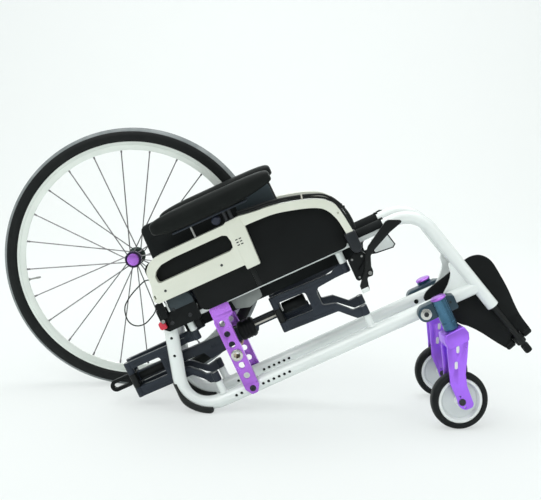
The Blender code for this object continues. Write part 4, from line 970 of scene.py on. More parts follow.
class WHEELCHAIR_OT_caster_housings(bpy.types.Operator):
    """Model the caster housings with their caps, clamps and bolts"""
    bl_idname = "wheelchair.caster_housings"
    bl_label = "Caster Housings"

    def execute(self, context):
        for side, sign in SIDES.items():
            self.add_side(side, sign)
        return {"FINISHED"}

    def add_side(self, side, sign):
        space = side_space(sign)
        body = f"{side}_side"
        clamp = arc((CLAMP_X, 0), 0.017, math.radians(98), math.radians(262), 18)
        clamp += [(0.474, -0.015), (0.474, 0.014), (0.462, 0.0185)]
        arm = cut_plate(f"{side}_caster_clamp", soften(clamp, 0.004, 3), 0.0153, 0.039, 0.0018, 3)
        barrel = [
            (0.0074, -0.047), (0.015, -0.047), (0.0158, -0.0462), (0.0158, -0.03), (0.0151, -0.0293),
            (0.0151, -0.0283), (0.0158, -0.0276), (0.0158, 0.0218), (0.015, 0.0227), (0.0074, 0.0227),
        ]
        tube = lathe(f"{side}_caster_barrel", barrel, (CASTER_X, CASTER_OUT, 0), 48, (0, 0, 1))
        mount(tube, space, "Housing Coating", body, [f"{side}_caster_housing"])
        mount(arm, space, "Clamp Coating", body, angle=45)
        cap = [
            (0, 0.0226), (0.0162, 0.0226), (0.0168, 0.0232), (0.0168, 0.0252), (0.0159, 0.0263),
            (0.006, 0.0269), (0, 0.0269),
        ]
        knob = lathe(f"{side}_caster_cap", cap, (CASTER_X, CASTER_OUT, 0), 40, (0, 0, 1))
        mount(knob, space, "Plate Anodising", body, angle=50)
        washer = [(0, 0), (0.0116, 0), (0.012, 0.0005), (0.012, 0.0012), (0.011, 0.0018), (0, 0.0018)]
        disc = lathe(f"{side}_clamp_washer", washer, (CLAMP_X, 0.0386, 0), 40)
        mount(disc, space, "Polished Steel", body)
        head = screw_head(0.0052, 0.002, 0.0044, 0.0028, 0.0022, 0.0008)
        bolt = lathe(f"{side}_clamp_bolt", head, (CLAMP_X, 0.0402, 0), 28)
        mount(bolt, space, "Dark Bolt", body, angle=20)
        small = lathe(
            f"{side}_clamp_screw", [(0, 0), (0.0026, 0), (0.0026, 0.0006), (0.0014, 0.0008), (0, 0.0003)],
            (0.462, 0.0389, 0.0035), 20,
        )
        mount(small, space, "Dark Bolt", body)


FORK_SLOTS = (((0.4305, -0.0862), 0.0078), ((0.4136, -0.115), 0.0082))
FORK_WAY = (-0.42, -0.91)


def fork_slot(centre, half_length, half_width):
    """A slot's outline, in line with the fork's legs."""
    points = []
    for along, across in stadium(half_length, half_width):
        x = centre[0] + along * FORK_WAY[0] - across * FORK_WAY[1]
        z = centre[1] + along * FORK_WAY[1] + across * FORK_WAY[0]
        points.append((x, z))
    return points


class WHEELCHAIR_OT_caster_forks(bpy.types.Operator):
    """Model the caster forks with their crowns, slotted legs and axle bolts"""
    bl_idname = "wheelchair.caster_forks"
    bl_label = "Caster Forks"

    def execute(self, context):
        for side, sign in SIDES.items():
            self.add_side(side, sign)
        return {"FINISHED"}

    def add_side(self, side, sign):
        leg = [
            (0.414, -0.066), (0.466, -0.066), (0.442, -0.11), (0.424, -0.141), (0.417, -0.164),
            (0.414, -0.206), (0.408, -0.211), (0.393, -0.2095), (0.384, -0.199), (0.386, -0.176),
            (0.386, -0.144), (0.395, -0.121),
        ]
        space = turned_space(sign, CASTER_X, CASTER_OUT, CASTER_TURN[side])
        body = f"{side}_fork"
        legs = []
        for low in (CASTER_OUT - 0.022, CASTER_OUT + 0.017):
            blade = cut_plate("blade", soften(leg, 0.012, 5), low, low + 0.005, 0.0)
            slots = []
            for centre, half in FORK_SLOTS:
                slots.append(cut_plate("slot", fork_slot(centre, half, 0.0036), low - 0.01, low + 0.015, 0.0))
            for x, z in ((0.3945, -0.178), (0.395, -0.204)):
                slots.append(peg("hole", (x, low - 0.01, z), (x, low + 0.015, z), 0.002, 16, 0.0))
            cut_away(blade, *slots)
            round_edges(blade, 0.0009, 2)
            legs.append(blade)
        # Pale plates inside the fork slots are painted light: they stand for the bright light seen through
        # the slots.
        slot_light_plates = []
        for low in (CASTER_OUT - 0.0205, CASTER_OUT + 0.0185):
            for centre, half in FORK_SLOTS:
                pad = fork_slot(centre, half + 0.0006, 0.0042)
                slot_light_plates.append(cut_plate("insert", pad, low, low + 0.002, 0.0))
        mount(joined(f"{side}_fork_inserts", *slot_light_plates), space, "Caster Rim", body)
        crown = [
            (0.4165, -0.048), (0.462, -0.048), (0.4665, -0.064), (0.461, -0.08), (0.414, -0.08),
            (0.412, -0.064),
        ]
        block = cut_plate("crown", soften(crown, 0.006), CASTER_OUT - 0.023, CASTER_OUT + 0.023, 0.0)
        round_edges(block, 0.003, 3)
        legs.append(block)
        piece = joined(f"{side}_fork_blades", *legs)
        mount(piece, space, "Purple Anodising", body, [f"{side}_caster_fork"], angle=40)
        stem = peg(
            f"{side}_fork_stem", (CASTER_X, CASTER_OUT, -0.054), (CASTER_X, CASTER_OUT, 0.007), 0.007, 28,
        )
        mount(stem, space, "Zinc Bolt", body)
        x, z = CASTER_AXLE
        axle = peg("axle", (x, CASTER_OUT - 0.024, z), (x, CASTER_OUT + 0.024, z), PIN_RADIUS, 24)
        heads = [axle]
        for way in (-1, 1):
            head = screw_head(0.0072, 0.0018, 0.006, 0.0028, 0.0032, 0.0006)
            heads.append(lathe("head", head, (x, CASTER_OUT + way * 0.0219, z), 32, (0, way, 0)))
        mount(joined(f"{side}_fork_axle", *heads), space, "Dark Bolt", body)


class WHEELCHAIR_OT_caster_wheels(bpy.types.Operator):
    """Model the small front wheels"""
    bl_idname = "wheelchair.caster_wheels"
    bl_label = "Caster Wheels"

    def execute(self, context):
        for side, sign in SIDES.items():
            self.add_side(side, sign)
        return {"FINISHED"}

    def add_side(self, side, sign):
        tyre = [
            (0.0478, -0.0118), (0.05, -0.0136), (0.054, -0.014), (0.0575, -0.0126), (0.0598, -0.0092),
            (0.0608, -0.0045), (0.0608, 0.0045), (0.0598, 0.0092), (0.0575, 0.0126), (0.054, 0.014),
            (0.05, 0.0136), (0.0478, 0.0118),
        ]
        rim = [
            (0.0044, -0.0155), (0.01, -0.0155), (0.0112, -0.0143), (0.0118, -0.006), (0.014, -0.0034),
            (0.0378, -0.0028), (0.0396, -0.006), (0.0414, -0.011), (0.043, -0.0116), (0.0462, -0.0116),
            (0.0475, -0.0106),
        ]
        rim += [(radius, -along) for radius, along in reversed(rim)]
        hub = [(0.0044, 0.0146), (0.0085, 0.0146), (0.0085, 0.0158), (0.0044, 0.0158)]
        space = turned_space(sign, CASTER_X, CASTER_OUT, CASTER_TURN[side])
        body = f"{side}_caster_wheel"
        centre = (CASTER_AXLE[0], CASTER_OUT, CASTER_AXLE[1])
        ring = lathe(f"{side}_caster_tyre_ring", tyre, centre, 96)
        mount(ring, space, "Tyre Rubber", body, [f"{side}_caster_tyre"], angle=60)
        disc = lathe(f"{side}_caster_disc", rim, centre, 96)
        mount(disc, space, "Caster Rim", body, [f"{side}_caster_rim"], angle=30)
        # The web is a thin skin just proud of the disc's recessed face; its darker grey is painted shade.
        web = [
            (0.0117, -0.0056), (0.0136, -0.0048), (0.0372, -0.0038), (0.038, -0.003), (0.038, 0.003),
            (0.0372, 0.0038), (0.0136, 0.0048), (0.0117, 0.0056),
        ]
        mount(lathe(f"{side}_caster_shaded_web", web, centre, 64), space, "Web Painted Shade", body, angle=30)
        seals = []
        for way in (-1, 1):
            seals.append(lathe("seal", [(r, a * way) for r, a in hub], centre, 40))
        mount(joined(f"{side}_caster_seals", *seals), space, "Dark Bolt", body)


# The footrests


def foot_point(along, up):
    x = FOOT_HINGE[0] + along * math.cos(FOOT_RAKE) - up * math.sin(FOOT_RAKE)
    z = FOOT_HINGE[1] + along * math.sin(FOOT_RAKE) + up * math.cos(FOOT_RAKE)
    return (x, z)


def foot_axis(along):
    x, z = foot_point(along, 0)
    return Vector((x, -0.0205, z))


class WHEELCHAIR_OT_footrests(bpy.types.Operator):
    """Model the footrest hangers and the footplates"""
    bl_idname = "wheelchair.footrests"
    bl_label = "Footrests"

    def execute(self, context):
        for side, sign in SIDES.items():
            self.add_side(side, sign)
        return {"FINISHED"}

    def add_side(self, side, sign):
        space = side_space(sign)
        body = f"{side}_hanger"
        length = (SLEEVE_END[1] + 0.177) / math.cos(FRONT_LEAN)
        tube = peg(f"{side}_hanger_tube", along_hanger(-0.075), along_hanger(length - 0.012), 0.0063, 32)
        mount(tube, space, "Black Coating", body, [f"{side}_footrest_hanger"])
        plug = [
            (0, -0.004), (0.0064, -0.004), (0.0084, 0), (0.0086, 0.001), (0.0086, 0.0165), (0.0076, 0.018),
            (0, 0.018),
        ]
        end = lathe(f"{side}_hanger_plug", plug, along_hanger(length - 0.018), 32, FRONT_WAY)
        mount(end, space, "Black Plastic", body)
        corners = [(-0.0113, -0.009), (0.0113, -0.009), (0.0113, 0.0125), (-0.0113, 0.0125)]
        lug = cut_plate(
            f"{side}_hinge_lug", soften([foot_point(*corner) for corner in corners], 0.005), -0.0295, -0.004,
            0.0012,
        )
        mount(lug, space, "Black Coating", body, angle=45)
        pin = peg(f"{side}_footplate_pin", foot_axis(-0.033), foot_axis(0.033), PIN_RADIUS, 24)
        mount(pin, space, "Zinc Bolt", body)
        self.add_plate(side, space)

    def add_plate(self, side, space):
        """Footplate, drawn as the long right one and scaled from its root to the side's own length."""
        length = FOOTPLATE_LENGTH[side]
        longest = FOOTPLATE_LENGTH["right"]
        root = 0.013
        notch = 0.0115
        body = f"{side}_plate"
        taller = (length - root) / (longest - root)
        wider = 0.45 + 0.55 * length / longest
        rim = [
            (0.0335, 0.001), (0.0357, 0.0328), (0.0412, 0.0596), (0.0529, 0.0988), (0.0603, 0.1329),
            (0.0654, 0.1645), (0.063, 0.1824), (0.0536, 0.1974), (0.0386, 0.206), (0.0206, 0.209),
            (-0.0213, 0.2095), (-0.0694, 0.2115), (-0.0911, 0.207), (-0.0976, 0.1945), (-0.087, 0.155),
            (-0.0753, 0.1119), (-0.0644, 0.0934), (-0.0529, 0.0654), (-0.0419, 0.0265), (-0.0335, 0.001),
        ]
        outline = [(notch, root), (notch, 0.001)] + through(rim, 4) + [(-notch, 0.001), (-notch, root)]
        drawn = []
        for along, up in outline + [(0.031, 0.044)]:
            if up > root:
                along, up = along * wider, root + (up - root) * taller
            drawn.append((along, up))
        hole = foot_point(*drawn.pop())
        plate = cut_plate(
            f"{side}_foot_tread", [foot_point(*p) for p in soften(drawn, 0.004)], -0.0235, -0.0175, 0.0,
        )
        cut_away(plate, peg("hole", (hole[0], -0.0185, hole[1]), (hole[0], -0.01, hole[1]), 0.0028, 20, 0.0))
        round_edges(plate, 0.0008, 2)
        mount(plate, space, "Black Plastic", body, [f"{side}_footplate"], angle=40)
        knuckles = []
        for start, stop in ((-0.033, -notch), (notch, 0.033)):
            knuckles.append(peg("knuckle", foot_axis(start), foot_axis(stop), 0.0075, 28, 0.003))
        mount(joined(f"{side}_foot_knuckles", *knuckles), space, "Black Plastic", body)


# The armrests


class WHEELCHAIR_OT_armrest_frames(bpy.types.Operator):
    """Model the painted armrest frames, their guards, posts and sockets"""
    bl_idname = "wheelchair.armrest_frames"
    bl_label = "Armrest Frames"

    def execute(self, context):
        for side, sign in SIDES.items():
            self.add_side(side, sign)
        return {"FINISHED"}

    def add_side(self, side, sign):
        rear = [
            (-0.0944, 0.2545), (-0.1013, 0.262), (-0.1013, 0.266), (-0.0937, 0.2935), (-0.0915, 0.3138),
            (-0.0891, 0.3268), (-0.0779, 0.3395), (-0.0645, 0.3457), (-0.0457, 0.348),
        ]
        front = [
            (0.134, 0.353), (0.17, 0.3475), (0.2005, 0.3448), (0.2378, 0.3369), (0.2699, 0.328),
            (0.2885, 0.3213), (0.3081, 0.3115), (0.3185, 0.3025), (0.3289, 0.2882), (0.3351, 0.259),
            (0.3393, 0.2245),
        ]
        inner = [
            (0.3241, 0.2245), (0.3206, 0.2535), (0.3154, 0.2715), (0.3069, 0.2873), (0.293, 0.2991),
            (0.2624, 0.3114), (0.2087, 0.3255), (0.1621, 0.3289), (0.1391, 0.3291),
        ]
        outer = through(rear, 4) + [(0.1, 0.349), (0.104, 0.352)] + through(front, 4) + through(inner, 4)
        outer += [(0.1356, 0.2437), (0.1052, 0.2434), (0.1052, 0.2541), (-0.085, 0.2545)]
        guard = [
            (-0.096, 0.26), (-0.096, 0.33), (-0.085, 0.34), (0.132, 0.34), (0.222, 0.328), (0.285, 0.308),
            (0.317, 0.274), (0.3255, 0.2245), (0.3172, 0.2245), (0.3172, 0.196), (-0.022, 0.196),
            (-0.022, 0.26),
        ]
        low = ARMREST_IN
        high = ARMREST_IN + 0.018
        space = side_space(sign)
        body = f"{side}_armrest"
        band = cut_plate(f"{side}_armrest_band", soften(outer, 0.0025, 3), low, high, 0.0)
        window = [
            (-0.0735, 0.293), (-0.0768, 0.2965), (-0.0775, 0.3085), (-0.0707, 0.319), (-0.0545, 0.3275),
            (-0.0256, 0.3305), (0.087, 0.3305), (0.0965, 0.326), (0.0992, 0.3114), (0.0975, 0.2975),
            (0.088, 0.293),
        ]
        slot = [(-0.0958 + z, 0.2692 + x) for x, z in stadium(0.0046, 0.0019)]
        holes = [cut_plate("window", soften(window, 0.006, 5), low - 0.01, high + 0.01, 0.0)]
        holes.append(cut_plate("slot", slot, low + 0.009, high + 0.01, 0.0))
        holes.append(peg(
            "hole", (0.3262, high - 0.004, 0.2728), (0.3262, high + 0.01, 0.2728), 0.0021, 20, 0.0,
        ))
        cut_away(band, *holes)
        round_edges(band, 0.0024, 4, 40)
        mount(band, space, "Armrest Paint", body, [f"{side}_armrest_frame"], angle=40)
        panel = cut_plate(
            f"{side}_armrest_panel", soften(guard, 0.02, 6), low - 0.0033, low - 0.0003, 0.0008,
        )
        mount(panel, space, "Guard Plastic", body, [f"{side}_armrest_guard"])
        socket = box_piece(
            "socket", (-0.1045, BRACKET_FACE + 0.0036, 0.219), (-0.089, high - 0.001, 0.2548), 0.0015, 3,
        )
        eye = peg(
            "eye", (-0.103, BRACKET_FACE + 0.0036, 0.216), (-0.103, high - 0.0012, 0.216), 0.0052, 32, 0.001,
        )
        mount(joined(f"{side}_armrest_foot", socket, eye), space, "Black Plastic", body)
        rivet = [(0, 0), (0.0026, 0), (0.0026, 0.0006), (0.0018, 0.0012), (0, 0.0014)]
        head = lathe(f"{side}_armrest_rivet", rivet, (-0.103, high - 0.0013, 0.216), 24)
        mount(head, space, "Dark Bolt", body)
        screws = []
        for x in (-0.0699, 0.0603):
            profile = [
                (0, 0), (0.0028, 0), (0.0028, 0.0006), (0.0021, 0.0011), (0.0012, 0.0011), (0.001, 0.0004),
                (0, 0.0003),
            ]
            screws.append(lathe("screw", profile, (x, high - 0.0002, 0.274), 28))
        mount(joined(f"{side}_armrest_screws", *screws), space, "Dark Bolt", body)
        raised = [
            (0.1063, 0.2446), (0.1345, 0.2446), (0.1372, 0.3292), (0.136, 0.35), (0.106, 0.35),
            (0.102, 0.33), (0.1063, 0.301),
        ]
        cover = cut_plate(
            f"{side}_armrest_cover", soften(raised, 0.002, 3), high - 0.002, high + 0.0011, 0.0009, 2,
        )
        mount(cover, space, "Armrest Paint", body, angle=40)
        dashes = []
        for x in (0.111, 0.119):
            for z in (0.31, 0.304, 0.298):
                dashes.append(box_piece(
                    "dash", (x - 0.0027, high, z - 0.0011), (x + 0.0027, high + 0.0013, z + 0.0011), 0,
                ))
        mount(joined(f"{side}_armrest_vents", *dashes), space, "Black Coating", body)
        self.add_posts(side, space, body)
        block = [
            (0.319, 0.2268), (0.343, 0.2258), (0.343, 0.19), (0.3385, 0.1815), (0.331, 0.178),
            (0.3235, 0.1815), (0.3187, 0.193),
        ]
        cup = cut_plate(f"{side}_front_socket", soften(block, 0.005), 0.0153, ARMREST_OUT + 0.0115, 0.0042, 5)
        mount(
            cup, space, "Socket Plastic", f"{side}_side", [f"{side}_armrest_socket"],
            angle=50,
        )

    def add_posts(self, side, space, body):
        """The pad's posts, lock and plate, and the strap behind the guard."""
        out = ARMREST_OUT
        under = 0.3772
        post = peg("post", (0.109, out, 0.3), (0.109, out, under - 0.0015), 0.0042, 28)
        other = peg("other", (0.1205, out, 0.3), (0.1205, out, under - 0.0015), 0.0042, 28)
        lock = peg(
            f"{side}_pad_lock", (0.089, out - 0.009, 0.364), (0.089, out + 0.009, 0.364), 0.0098, 32,
            0.003,
        )
        mount(joined(f"{side}_pad_posts", post, other), space, "Dark Bolt", body)
        mount(lock, space, "Navy Plastic", body)
        thin = peg(f"{side}_thin_post", (0.0345, out, 0.34), (0.0345, out, under - 0.0015), 0.0022, 20)
        mount(thin, space, "Zinc Bolt", body)
        plate = box_piece(
            f"{side}_pad_plate", (-0.005, out - 0.014, under - 0.003), (0.165, out + 0.014, under + 0.001),
            0.001,
        )
        mount(plate, space, "Slate Coating", body)
        strap = box_piece(f"{side}_guard_strap", (0.1085, 0.0196, 0.1975), (0.1185, 0.0205, 0.2434), 0.0004)
        mount(strap, space, "Black Coating", body)


class WHEELCHAIR_OT_arm_pads(bpy.types.Operator):
    """Model the crowned foam arm pads"""
    bl_idname = "wheelchair.arm_pads"
    bl_label = "Arm Pads"

    def execute(self, context):
        for side, sign in SIDES.items():
            self.add_side(side, sign)
        return {"FINISHED"}

    def add_side(self, side, sign):
        bpy.ops.object.select_all(action="DESELECT")
        bpy.ops.mesh.primitive_cube_add(size=2)
        pad = bpy.context.object
        pad.name = f"{side}_foam_pad"
        edit_whole_mesh()
        bpy.ops.mesh.subdivide(number_cuts=26)
        bpy.ops.object.mode_set(mode="OBJECT")
        for vert in pad.data.vertices:
            way = vert.co.normalized()
            cross = (abs(way.y) ** 3.2 + abs(way.z) ** 3.2) ** (1 / 3.2)
            reach = (abs(way.x) ** 6 + cross ** 6) ** (-1 / 6)
            x, y, z = way * reach
            slope = 1.0 - 0.05 * max(0.0, x) ** 2 - 0.14 * max(0.0, (-x - 0.4) / 0.6) ** 2
            if z < 0:
                slope = 1.0 - 0.58 * max(0.0, (x - 0.2) / 0.8) ** 1.6 - 0.42 * max(0.0, (-x - 0.4) / 0.6) ** 2
            groove = 1.0 - 0.018 * math.exp(-((z + 0.42) / 0.035) ** 2)
            vert.co.x = 0.093 + 0.137 * x
            vert.co.y = ARMREST_OUT + 0.0265 * y * groove
            vert.co.z = 0.3995 + 0.022 * z * slope
        mount(
            pad, side_space(sign), "Pad Foam", f"{side}_armrest", [f"{side}_armrest_pad"],
            angle=60,
        )


# How far outboard the cables lie and how far below the route that is drawn for them
CABLE_SHIFT = {"right": (ARMREST_OUT, -0.0012), "left": (ARMREST_OUT + 0.0117, 0.016)}
CABLE_RADIUS = 0.0025
CORD_RADIUS = 0.0014


class WHEELCHAIR_OT_brake_cables(bpy.types.Operator):
    """Lay the brake cables along the armrests and the backrest's release cord"""
    bl_idname = "wheelchair.brake_cables"
    bl_label = "Cables and Cord"

    def execute(self, context):
        near = [
            (0.1343, 0.3556), (0.1703, 0.3501), (0.2009, 0.3474), (0.2384, 0.3394), (0.2707, 0.3305),
            (0.2895, 0.3237), (0.3096, 0.3136), (0.3204, 0.3042), (0.3313, 0.2893), (0.3377, 0.2595),
            (0.3405, 0.2272),
        ]
        bowed = [
            (0.1348, 0.3606), (0.171, 0.355), (0.2017, 0.3523), (0.2397, 0.3443), (0.2723, 0.3352),
            (0.2916, 0.3283), (0.313, 0.3185), (0.3265, 0.3045), (0.3365, 0.2885), (0.343, 0.269),
            (0.3458, 0.25), (0.3455, 0.2272),
        ]
        for side, sign in SIDES.items():
            space = side_space(sign)
            out, drop = CABLE_SHIFT[side]
            for label, route in (("lower", near), ("upper", bowed)):
                points = through([(x, out, z - drop) for x, z in route], 4)
                node = [f"{side}_brake_cable"] if label == "lower" else []
                self.lay(f"{side}_{label}_brake_cable", points, CABLE_RADIUS, space, f"{side}_armrest", node)
            ring = stadium(0.006, 0.0033)
            tie = cut_plate(f"{side}_cable_tie", [(z, x) for x, z in ring], -0.0016, 0.0016, 0.0004)
            slant = Matrix.Rotation(0.27, 4, "Y") @ Matrix.Rotation(math.pi / 2, 4, "Z")
            tie.data.transform(Matrix.Translation((0.2714, out, 0.3331 - drop)) @ slant)
            strip = [(-0.004, -0.0022), (0.011, -0.0022), (0.011, 0.0022), (-0.004, 0.0022)]
            clip = cut_plate(f"{side}_cable_clip", soften(strip, 0.0015), out - 0.003, out + 0.003, 0.0006)
            nod = Matrix.Rotation(0.25, 4, "Y")
            clip.data.transform(Matrix.Translation((0.334, 0, 0.28 - drop)) @ nod)
            mount(tie, space, "Cream Strap", f"{side}_armrest")
            mount(clip, space, "Cable Sheath", f"{side}_armrest")
        top = 0.2417
        loop = [
            (-0.1083, top - 0.001), (-0.1095, top + 0.0022), (-0.115, 0.2385), (-0.1246, 0.2325),
            (-0.1444, 0.2245), (-0.1614, 0.2265), (-0.1726, 0.2366), (-0.1757, 0.2527), (-0.1686, 0.2751),
            (-0.1481, 0.2912), (-0.122, 0.303), (-0.103, 0.308), (-0.091, 0.3), (-0.0872, 0.276),
            (-0.0872, top - 0.001),
        ]
        points = through([(x, 0.015, z) for x, z in loop], 4)
        self.lay(
            "release_cord_loop", points, CORD_RADIUS, side_space(-1), "right_side", ["backrest_release_cord"],
        )
        return {"FINISHED"}

    def lay(self, name, points, radius, space, body, nodes):
        """Models the cord along its points."""
        piece = bent_tube(name, points, radius, 12)
        mount(piece, space, "Cable Sheath", body, nodes, angle=60)


# The backrest


class WHEELCHAIR_OT_backrest_posts(bpy.types.Operator):
    """Model the backrest brackets, posts, knuckles and release buttons"""
    bl_idname = "wheelchair.backrest_posts"
    bl_label = "Backrest Posts"

    def execute(self, context):
        for side, sign in SIDES.items():
            self.add_side(side, sign)
        return {"FINISHED"}

    def add_side(self, side, sign):
        cheek = [
            (-0.112, 0.196), (-0.103, 0.188), (-0.03, 0.188), (-0.027, 0.192), (-0.027, 0.236),
            (-0.031, 0.24), (-0.112, 0.24),
        ]
        x, z = BACK_PIVOT
        rounding = z - SEAT_TUBE_Z - SEAT_TUBE - 0.0005
        knuckle = arc((x, z), rounding, math.radians(270), math.radians(150), 12)
        knuckle += [
            (x - 0.0085, z + 0.0145), (x - 0.003, 0.2485), (-0.031, 0.2495), (-0.029, 0.247),
            (-0.029, z - rounding),
        ]
        button = [
            (-0.1185, 0.201), (-0.1155, 0.1975), (-0.1035, 0.1975), (-0.1035, 0.2147), (-0.1155, 0.2147),
            (-0.1185, 0.2125),
        ]
        space = side_space(sign)
        body = f"{side}_side"
        plate = cut_plate(f"{side}_bracket_cheek", soften(cheek, 0.004), BRACKET_OUT, BRACKET_FACE, 0.0)
        pocket = box_piece(
            "pocket", (-0.12, BRACKET_OUT + 0.0011, 0.1965), (-0.0985, BRACKET_FACE + 0.002, 0.2157), 0,
        )
        cut_away(plate, pocket)
        round_edges(plate, 0.0006, 2)
        mount(plate, space, "Black Plastic", body, [f"{side}_backrest_bracket"])
        pins = [peg("pin", (x, -0.009, z), (x, 0.0183, z), 0.005, 28)]
        pins.append(peg("pin", (-0.103, 0.0183, 0.216), (-0.103, 0.038, 0.216), PIN_RADIUS, 24))
        mount(joined(f"{side}_bracket_pins", *pins), space, "Zinc Bolt", body)
        heads = []
        for hx, hz in ((-0.075, 0.2285), (-0.048, 0.203), (-0.09, 0.203)):
            profile = screw_head(0.0044, 0.0008, 0.0032, 0.0018, 0.0016, 0.0006)
            heads.append(lathe("head", profile, (hx, BRACKET_FACE - 0.0002, hz), 28))
        mount(joined(f"{side}_bracket_screws", *heads), space, "Dark Bolt", body)
        block = [
            (-0.082, 0.226), (-0.082, 0.249), (-0.078, 0.2533), (-0.0345, 0.2525), (-0.0275, 0.239),
            (-0.0275, 0.226),
        ]
        upper = cut_plate(
            f"{side}_bracket_block", soften(block, 0.003), BRACKET_OUT, BRACKET_FACE + 0.0012, 0.0022, 3,
        )
        mount(upper, space, "Cap Coating", body, angle=45)
        tab = box_piece(
            f"{side}_bracket_tab", (-0.0868, BRACKET_FACE - 0.001, 0.227),
            (-0.0826, BRACKET_FACE + 0.0006, 0.248), 0.0006,
        )
        mount(tab, space, "Caster Rim", body)
        push = cut_plate(
            f"{side}_push_button", soften(button, 0.002, 3), BRACKET_OUT + 0.0014, BRACKET_FACE + 0.003,
            0.0022, 3,
        )
        mount(push, space, "Red Button", f"{side}_button", [f"{side}_release_button"])
        post_body = f"{side}_post"
        tube = peg(f"{side}_back_tube", (x - 0.004, -0.009, z), (0.229, -0.009, z), 0.01, 36, 0.0012)
        cut_away(tube, peg("bore", (x, -0.03, z), (x, 0.03, z), 0.0054, 28, 0.0))
        mount(tube, space, "Slate Coating", post_body, [f"{side}_backrest_post"])
        block = cut_plate(
            f"{side}_knuckle_block", soften(knuckle, 0.003, 3), -0.0095, BRACKET_OUT - 0.0021, 0.0,
        )
        cut_away(block, peg("bore", (x, -0.03, z), (x, 0.03, z), 0.0054, 28, 0.0))
        round_edges(block, 0.0009, 2)
        mount(block, space, "Slate Coating", post_body, angle=45)


def cloth_panel(name, start_x, end_x, depth, cuts_x, cuts_y):
    """A flat panel of many faces, from the hinge line inwards."""
    bpy.ops.object.select_all(action="DESELECT")
    bpy.ops.mesh.primitive_grid_add(x_subdivisions=cuts_x, y_subdivisions=cuts_y, size=1)
    piece = bpy.context.object
    piece.name = name
    for vert in piece.data.vertices:
        vert.co.x = start_x + (vert.co.x + 0.5) * (end_x - start_x)
        vert.co.y = (vert.co.y + 0.5) * depth
    return piece


class WHEELCHAIR_OT_back_panels(bpy.types.Operator):
    """Sew the padded halves of the backrest with their piping and front caps"""
    bl_idname = "wheelchair.back_panels"
    bl_label = "Back Panels"

    def execute(self, context):
        for side, sign in SIDES.items():
            self.add_side(side, sign)
        return {"FINISHED"}

    def add_side(self, side, sign):
        crown = bpy.context.scene.wheelchair_sizes.pad_crown
        start = -0.08
        end = 0.219
        depth = ARM_LENGTH - 0.0003
        thickness = 0.006
        rolled = 0.014
        space = hinge_space(sign, sign * CLOTH_HINGE_Y, 0.2385, -sign * CLOTH_ANGLE)
        body = f"{side}_back_panel"
        bpy.ops.object.select_all(action="DESELECT")
        bpy.ops.mesh.primitive_cube_add(size=1)
        panel = bpy.context.object
        panel.name = f"{side}_back_cushion"
        edit_whole_mesh()
        bpy.ops.mesh.subdivide(number_cuts=47)
        bpy.ops.object.mode_set(mode="OBJECT")
        for vert in panel.data.vertices:
            u = vert.co.x + 0.5
            v = vert.co.y + 0.5
            w = vert.co.z + 0.5
            edge_u = min(u, 1 - u) * (end - start)
            edge_v = min(v, 1 - v) * depth
            rounding = 1.0
            for edge in (edge_u, edge_v):
                rounding *= math.sqrt(max(0.0, 1 - max(0.0, 1 - edge / thickness) ** 2))
            thick = thickness * (0.35 + 0.65 * rounding)
            swell = crown * (1 - (2 * u - 1) ** 4) * (1 - (2 * v - 1) ** 4)
            seam = 0.0
            for line in (0.2, 0.5, 0.8):
                seam += 0.0016 * math.exp(-((v - line) * depth / 0.0022) ** 2)
            seam += 0.0014 * math.exp(-((edge_u - 0.016) / 0.002) ** 2)
            ripple = 0.0003 * math.sin(31 * u + 5 * v) * math.sin(17 * v + 3)
            top = thick + (swell + ripple - seam) * rounding
            over_u = max(0.0, rolled - edge_u)
            over_v = max(0.0, rolled - (1 - v) * depth)
            fold = max(over_u, over_v) / math.hypot(over_u, over_v) if over_u and over_v else 1.0
            inset_u = over_u * (1 - fold) * (1 if u < 0.5 else -1)
            vert.co = (
                start + (end - start) * u + inset_u, v * depth - over_v * (1 - fold), max(0.0, w * top),
            )
        mount(panel, space, "Back Cloth", body, [f"{side}_backrest_panel"], angle=60)
        inset = 0.0022
        ring = [
            (start + inset, inset), (end - inset, inset), (end - inset, depth - inset),
            (start + inset, depth - inset),
        ]
        path = soften(ring, 0.016, 6)
        path.append(path[0])
        piping = bent_tube(f"{side}_back_piping", [(x, y, 0.0035) for x, y in path], 0.0016, 10)
        mount(piping, space, "Cable Sheath", body, angle=70)
        hem_line = [(start + 0.002, 0.0002, 0.0), (end - 0.002, 0.0002, 0.0)]
        hem = bent_tube(f"{side}_back_hem", hem_line, 0.0024, 16)
        mount(hem, space, "Back Cloth", body, angle=70)
        self.add_cap(side, space, body)

    def add_cap(self, side, space, body):
        """Slate cover near the panel's front end."""
        outline = [(0.132, 0.095), (0.2165, 0.095), (0.2165, 0.15), (0.132, 0.15)]
        cap = cut_plate(f"{side}_back_cap", soften(outline, 0.012, 6), -0.0112, -0.0078, 0.0012, 3)
        cap.data.transform(LAID_FLAT)
        mount(cap, space, "Cap Coating", body)


# The seat


